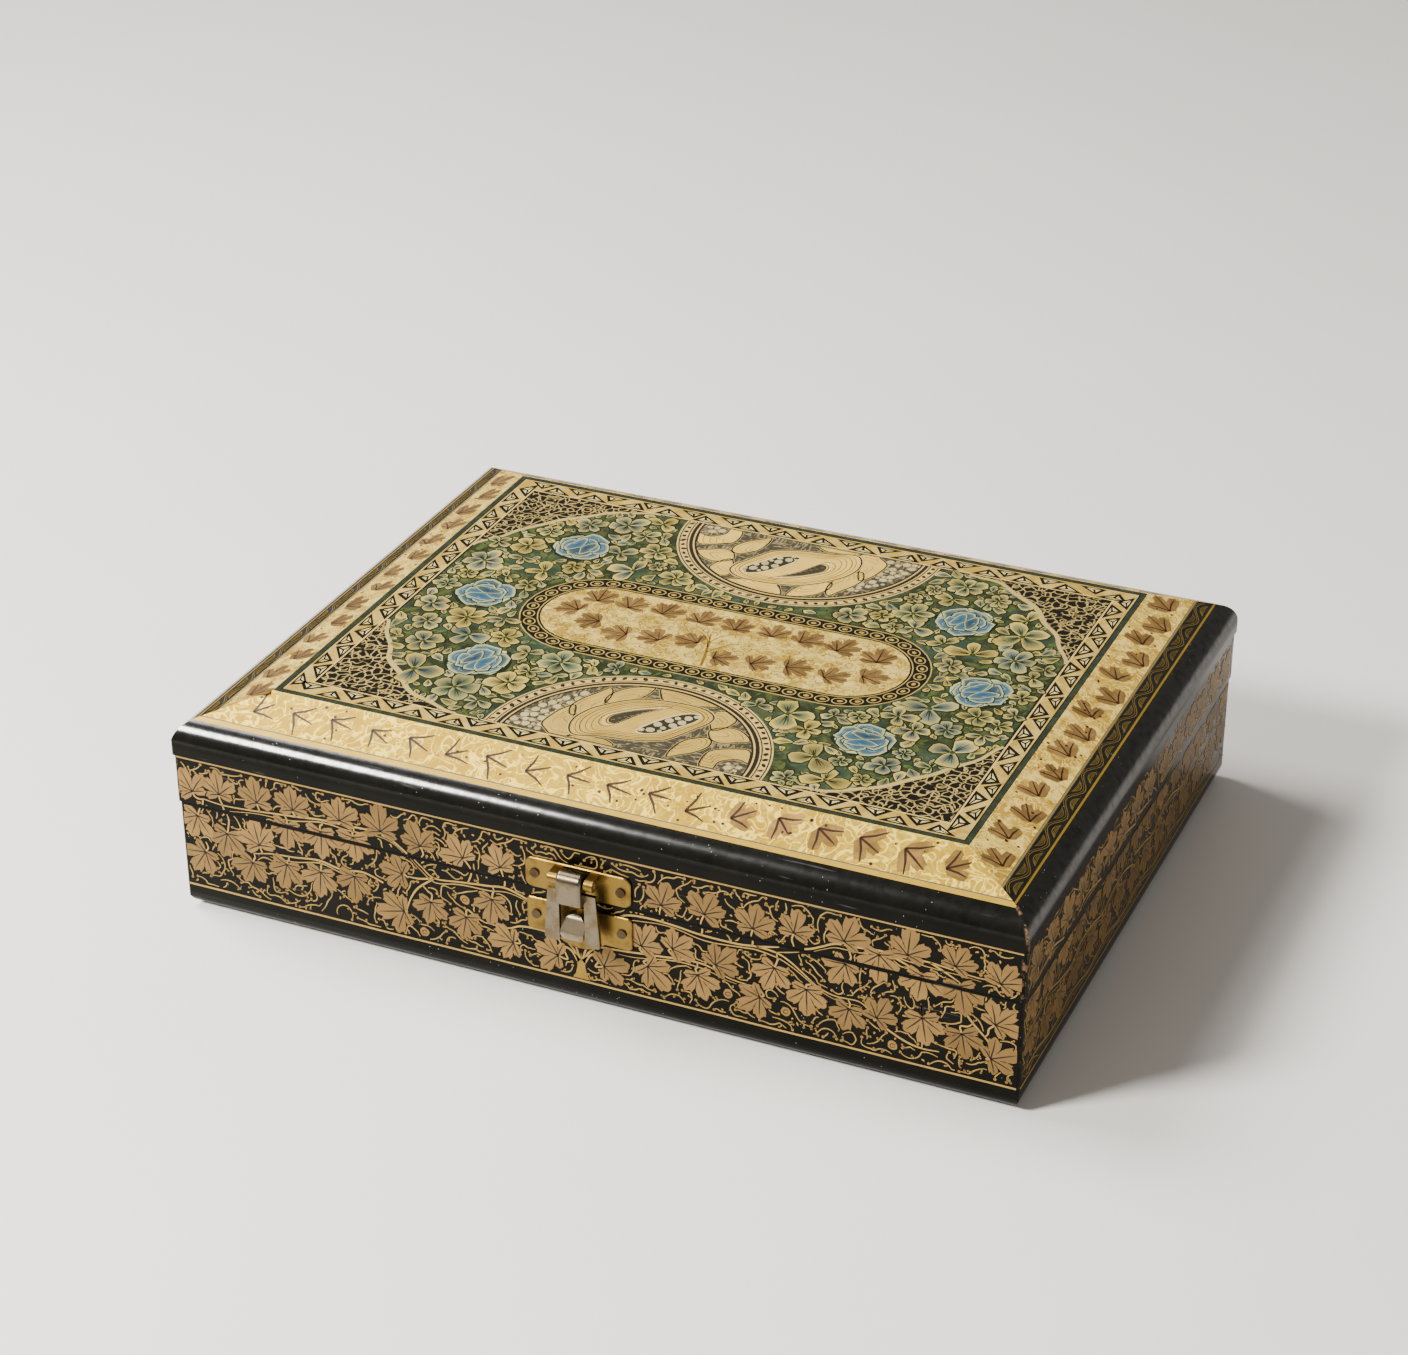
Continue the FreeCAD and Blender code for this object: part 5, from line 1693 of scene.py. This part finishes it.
class KeepsakeColours(bpy.types.PropertyGroup):
    """Colours of the lacquer, the paints and the metals."""

    lacquer: swatch("Lacquer", "Black lacquer of the boards", (0.003, 0.003, 0.0018))
    bare_wood: swatch("Bare wood", "Wood that shows where the lacquer is worn", (0.26, 0.15, 0.07))
    leaf: swatch("Leaf bronze", "Leaves on the walls", (0.265, 0.157, 0.049))
    stem: swatch("Stem gold", "Stems and fine lines on the walls", (0.41, 0.268, 0.075))
    vein: swatch("Vein black", "Veins of the leaves on the walls", (0.014, 0.01, 0.005))
    cream: swatch("Cream", "Ground of the border and the cartouche", (0.4, 0.255, 0.034))
    cream_pale: swatch("Pale cream", "Clouds in the cream ground", (0.74, 0.555, 0.15))
    scroll_gold: swatch("Scroll gold", "Gold scrolling on cream", (0.25, 0.15, 0.015))
    brown_leaf: swatch("Leaf brown", "Leaves on cream", (0.175, 0.104, 0.033))
    brown_vein: swatch("Vein brown", "Veins of the brown leaves", (0.034, 0.012, 0.005))
    edge_gold: swatch("Edge gold", "Ruled gold lines of the border", (0.48, 0.305, 0.03))
    grey_line: swatch("Ruled grey", "Thin grey lines of the border", (0.1, 0.095, 0.07))
    buff: swatch("Buff", "Ground of the triangle band", (0.6, 0.43, 0.12))
    line_green: swatch("Line green", "Dark green line at the crease", (0.012, 0.018, 0.009))
    ink: swatch("Ink", "Black of triangles, corners and bands", (0.006, 0.0055, 0.004))
    mark_cream: swatch("Mark cream", "Cream marks on black and grey", (0.62, 0.51, 0.22))
    scroll_cream: swatch("Scroll cream", "Scrolls in the corners", (0.36, 0.265, 0.088))
    field: swatch("Field green", "Ground of the flower field", (0.040, 0.049, 0.014))
    field_dark: swatch("Dark field green", "Shaded parts of the flower field", (0.014, 0.021, 0.009))
    field_leaf: swatch("Field leaf", "Small leaves among the flowers", (0.075, 0.095, 0.03))
    flower_line: swatch("Flower line", "Fine lines on the petals", (0.01, 0.015, 0.006))
    ring_gold: swatch("Ring gold", "Rings round the cartouche", (0.44, 0.315, 0.085))
    hatch: swatch("Hatch grey", "Ground of the medallions", (0.044, 0.039, 0.023))
    petal_gold: swatch("Buff gold", "Petals of the medallions", (0.5, 0.325, 0.06))
    brass: swatch("Brass", "Latch plates and hinges", (0.185, 0.118, 0.028))
    nickel: swatch("Nickel", "Fork and stud of the latch", (0.155, 0.130, 0.088))
    steel: swatch("Steel", "Pins", (0.42, 0.40, 0.37))
    nail: swatch("Nail", "Browned nail heads", (0.075, 0.055, 0.032))


class KeepsakeStage(bpy.types.PropertyGroup):
    """Camera, floor and light."""

    azimuth: number("Azimuth", "Camera's turn from the front", math.radians(24.122), subtype="ANGLE")
    elevation: number("Elevation", "Camera's angle above the floor", math.radians(28.54), subtype="ANGLE")
    roll: number("Roll", "Camera's roll", math.radians(-0.238), subtype="ANGLE")
    distance: number("Distance", "Camera to the point it looks at", 0.96815, unit="LENGTH")
    target: FloatVectorProperty(
        name="Target", description="Point that the camera looks at", subtype="TRANSLATION",
        default=(-0.02247, 0.03735, 0.030),
    )
    lens: number("Lens", "Focal length in millimetres", 82.18)
    floor: swatch("Floor", "Pale floor", (0.93, 0.90, 0.86))
    floor_size: number("Floor size", "Half the floor's width", 6.0, unit="LENGTH")
    key_power: number("Key light", "Power of the window light", 36.0, unit="POWER")
    top_power: number("Top light", "Power of the overhead light", 31.0, unit="POWER")
    fill_power: number("Fill light", "Power of the fill light", 1.5, unit="POWER")
    sky: number("Room light", "Strength of the light all round", 0.26, min=0.0)


# Operators


class Piece(bpy.types.Operator):
    """Shared by the operators: each takes its colours from the scene."""

    bl_options = {"REGISTER", "UNDO"}

    @property
    def colours(self):
        return bpy.context.scene.keepsake_colours


class KEEPSAKE_OT_boards(Piece):
    """Lacquers the boards of tray and lid"""

    bl_idname = "keepsake.boards"
    bl_label = "Lacquered boards"

    def execute(self, context):
        finish_nodes(("board",), black_lacquer(self.colours))
        return {"FINISHED"}


class KEEPSAKE_OT_metalwork(Piece):
    """Finishes the hinges, the latch and its nails"""

    bl_idname = "keepsake.metalwork"
    bl_label = "Metalwork"

    def execute(self, context):
        c = self.colours
        finish_nodes(("hinge_tray_leaf", "hinge_lid_leaf", "plate", "screws"), brass(c))
        finish_nodes(("fork",), polished_metal("polished nickel", c.nickel, 0.20, 0.3))
        # The stud's nickel is the fork's made 1.4 times lighter, painted light on the stud
        finish_nodes(("stud",), polished_metal("stud nickel with painted light", toned(c.nickel, 1.4), 0.30, 0.3))
        finish_nodes(("pin",), polished_metal("pin steel", c.steel, 0.30, 0.5))
        finish_nodes(("nails",), polished_metal("browned nails", c.nail, 0.42, 0.8))
        return {"FINISHED"}


class KEEPSAKE_OT_tray_walls(Piece):
    """Paints leaves and stems on the tray's walls"""

    bl_idname = "keepsake.tray_walls"
    bl_label = "Tray painting"

    def execute(self, context):
        low, high = TRAY_LOW[2] + 1.0, TRAY_HIGH[2] - SEAM_MARGIN
        paint_walls("tray", TRAY_FRONT, TRAY_END, low, high, TRAY_LOW[2] + 0.5, self.colours)
        return {"FINISHED"}


class KEEPSAKE_OT_lid_walls(Piece):
    """Paints leaves and stems on the lid's walls"""

    bl_idname = "keepsake.lid_walls"
    bl_label = "Lid wall painting"

    def execute(self, context):
        low, high = LID_LOW[2] + SEAM_MARGIN, LID_HIGH[2] - 0.9
        paint_walls("lid", LID_FRONT, LID_END, low, high, LID_HIGH[2] - 0.5, self.colours)
        return {"FINISHED"}


class KEEPSAKE_OT_border(Piece):
    """Paints the sloping border of the top"""

    bl_idname = "keepsake.border"
    bl_label = "Border painting"

    def execute(self, context):
        paint_border(self.colours)
        return {"FINISHED"}


class KEEPSAKE_OT_triangles(Piece):
    """Paints the green line and the band of triangles"""

    bl_idname = "keepsake.triangles"
    bl_label = "Triangle band"

    def execute(self, context):
        paint_band(self.colours)
        return {"FINISHED"}


class KEEPSAKE_OT_corners(Piece):
    """Paints the black corners of the panel and their scrolls"""

    bl_idname = "keepsake.corners"
    bl_label = "Corner scrolls"

    def execute(self, context):
        paint_corners(self.colours)
        return {"FINISHED"}


class KEEPSAKE_OT_field(Piece):
    """Paints the green field with its flowers and roses"""

    bl_idname = "keepsake.field"
    bl_label = "Flower field"

    def execute(self, context):
        paint_field(self.colours)
        return {"FINISHED"}


class KEEPSAKE_OT_cartouche(Piece):
    """Paints the bar in the middle with its ring of gold"""

    bl_idname = "keepsake.cartouche"
    bl_label = "Cartouche"

    def execute(self, context):
        paint_cartouche(self.colours)
        return {"FINISHED"}


class KEEPSAKE_OT_medallions(Piece):
    """Paints the half-round medallions"""

    bl_idname = "keepsake.medallions"
    bl_label = "Medallions"

    def execute(self, context):
        paint_medallions(self.colours)
        return {"FINISHED"}


class KEEPSAKE_OT_stage(bpy.types.Operator):
    """Sets up the floor, the light and the camera"""

    bl_idname = "keepsake.stage"
    bl_label = "Stage"

    def execute(self, context):
        stage = context.scene.keepsake_stage
        lay_floor(stage)
        hang_lights(stage)
        set_camera(stage)
        return {"FINISHED"}


def finish_nodes(words, material):
    """Gives a finish to every solid whose name ends with one of the words."""
    for node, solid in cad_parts.items():
        if node.endswith(words):
            for slot in solid.material_slots:
                slot.link = "OBJECT"
                slot.material = material


# The middle of the box, which the lights point at
LIT_POINT = Vector((0, 0, 0.03))


def lay_floor(stage):
    """A plain pale floor, just under the box."""
    mesh = bpy.data.meshes.new("floor")
    outline = rectangle(stage.floor_size, stage.floor_size)
    mesh.from_pydata([(x, y, 0) for x, y in outline], [], [(0, 1, 2, 3)])
    m = Shade("pale floor", IOR=1.45)
    cloud = m.noise(180.0, 3)
    base = m.mix(cloud.eased(0.3, 0.7), stage.floor, toned(stage.floor, 0.97))
    mesh.materials.append(m.finish(Base_Color=base, Roughness=0.30 + cloud * 0.06))
    floor = placed("floor", mesh)
    floor.location.z = -0.0001


def hang_lights(stage):
    """A window light, an overhead light, a weak fill and the light of the room."""
    lamps = (
        ("window_light", (-0.66, -0.78, 0.86), 0.32, stage.key_power, (1.0, 0.975, 0.94)),
        ("overhead_light", (-0.95, 0.10, 1.20), 0.8, stage.top_power, (1.0, 0.98, 0.95)),
        ("fill_light", (0.90, -1.00, 0.60), 1.2, stage.fill_power, (1.0, 0.97, 0.94)),
    )
    for name, place, size, power, tone in lamps:
        lamp = bpy.data.lights.new(name, "AREA")
        lamp.shape, lamp.size, lamp.energy, lamp.color = "DISK", size, power, tone
        hung = placed(name, lamp)
        hung.location = place
        hung.rotation_euler = (LIT_POINT - Vector(place)).to_track_quat("-Z", "Y").to_euler()
    world = bpy.data.worlds.new("room")
    world.use_nodes = True
    sky = world.node_tree.nodes["Background"]
    sky.inputs["Color"].default_value = (1.0, 0.95, 0.88, 1.0)
    sky.inputs["Strength"].default_value = stage.sky
    bpy.context.scene.world = world


def set_camera(stage):
    """The camera at the photograph's angle, with no shift."""
    a, e, r = stage.azimuth, stage.elevation, stage.roll
    back = Vector((math.sin(a) * math.cos(e), -math.cos(a) * math.cos(e), math.sin(e)))
    right = Vector((0, 0, 1)).cross(back).normalized()
    up = back.cross(right)
    right, up = right * math.cos(r) + up * math.sin(r), up * math.cos(r) - right * math.sin(r)
    lens = bpy.data.cameras.new("camera")
    lens.sensor_width, lens.lens = 36.0, stage.lens
    camera = placed("camera", lens)
    camera.matrix_world = Matrix((right, up, back)).transposed().to_4x4()
    camera.location = Vector(stage.target) + back * stage.distance
    bpy.context.scene.camera = camera


# Add-on

STEPS = (
    KEEPSAKE_OT_boards, KEEPSAKE_OT_metalwork, KEEPSAKE_OT_tray_walls, KEEPSAKE_OT_lid_walls,
    KEEPSAKE_OT_border, KEEPSAKE_OT_triangles, KEEPSAKE_OT_corners, KEEPSAKE_OT_field,
    KEEPSAKE_OT_cartouche, KEEPSAKE_OT_medallions, KEEPSAKE_OT_stage,
)


class KEEPSAKE_PT_panel(bpy.types.Panel):
    """Lists the steps that finish the box"""

    bl_idname = "KEEPSAKE_PT_panel"
    bl_label = "Keepsake box"
    bl_space_type = "VIEW_3D"
    bl_region_type = "UI"
    bl_category = "Keepsake box"

    def draw(self, context):
        for step in STEPS:
            self.layout.operator(step.bl_idname)
        for group in (context.scene.keepsake_colours, context.scene.keepsake_stage):
            for key in group.__annotations__:
                self.layout.prop(group, key)


CLASSES = (KeepsakeColours, KeepsakeStage, *STEPS, KEEPSAKE_PT_panel)


def register():
    for cls in CLASSES:
        bpy.utils.register_class(cls)
    bpy.types.Scene.keepsake_colours = PointerProperty(type=KeepsakeColours)
    bpy.types.Scene.keepsake_stage = PointerProperty(type=KeepsakeStage)


def unregister():
    del bpy.types.Scene.keepsake_stage
    del bpy.types.Scene.keepsake_colours
    for cls in reversed(CLASSES):
        bpy.utils.unregister_class(cls)


def main():
    register()
    for step in STEPS:
        group, name = step.bl_idname.split(".")
        getattr(getattr(bpy.ops, group), name)()


if __name__ == "__main__":
    main()
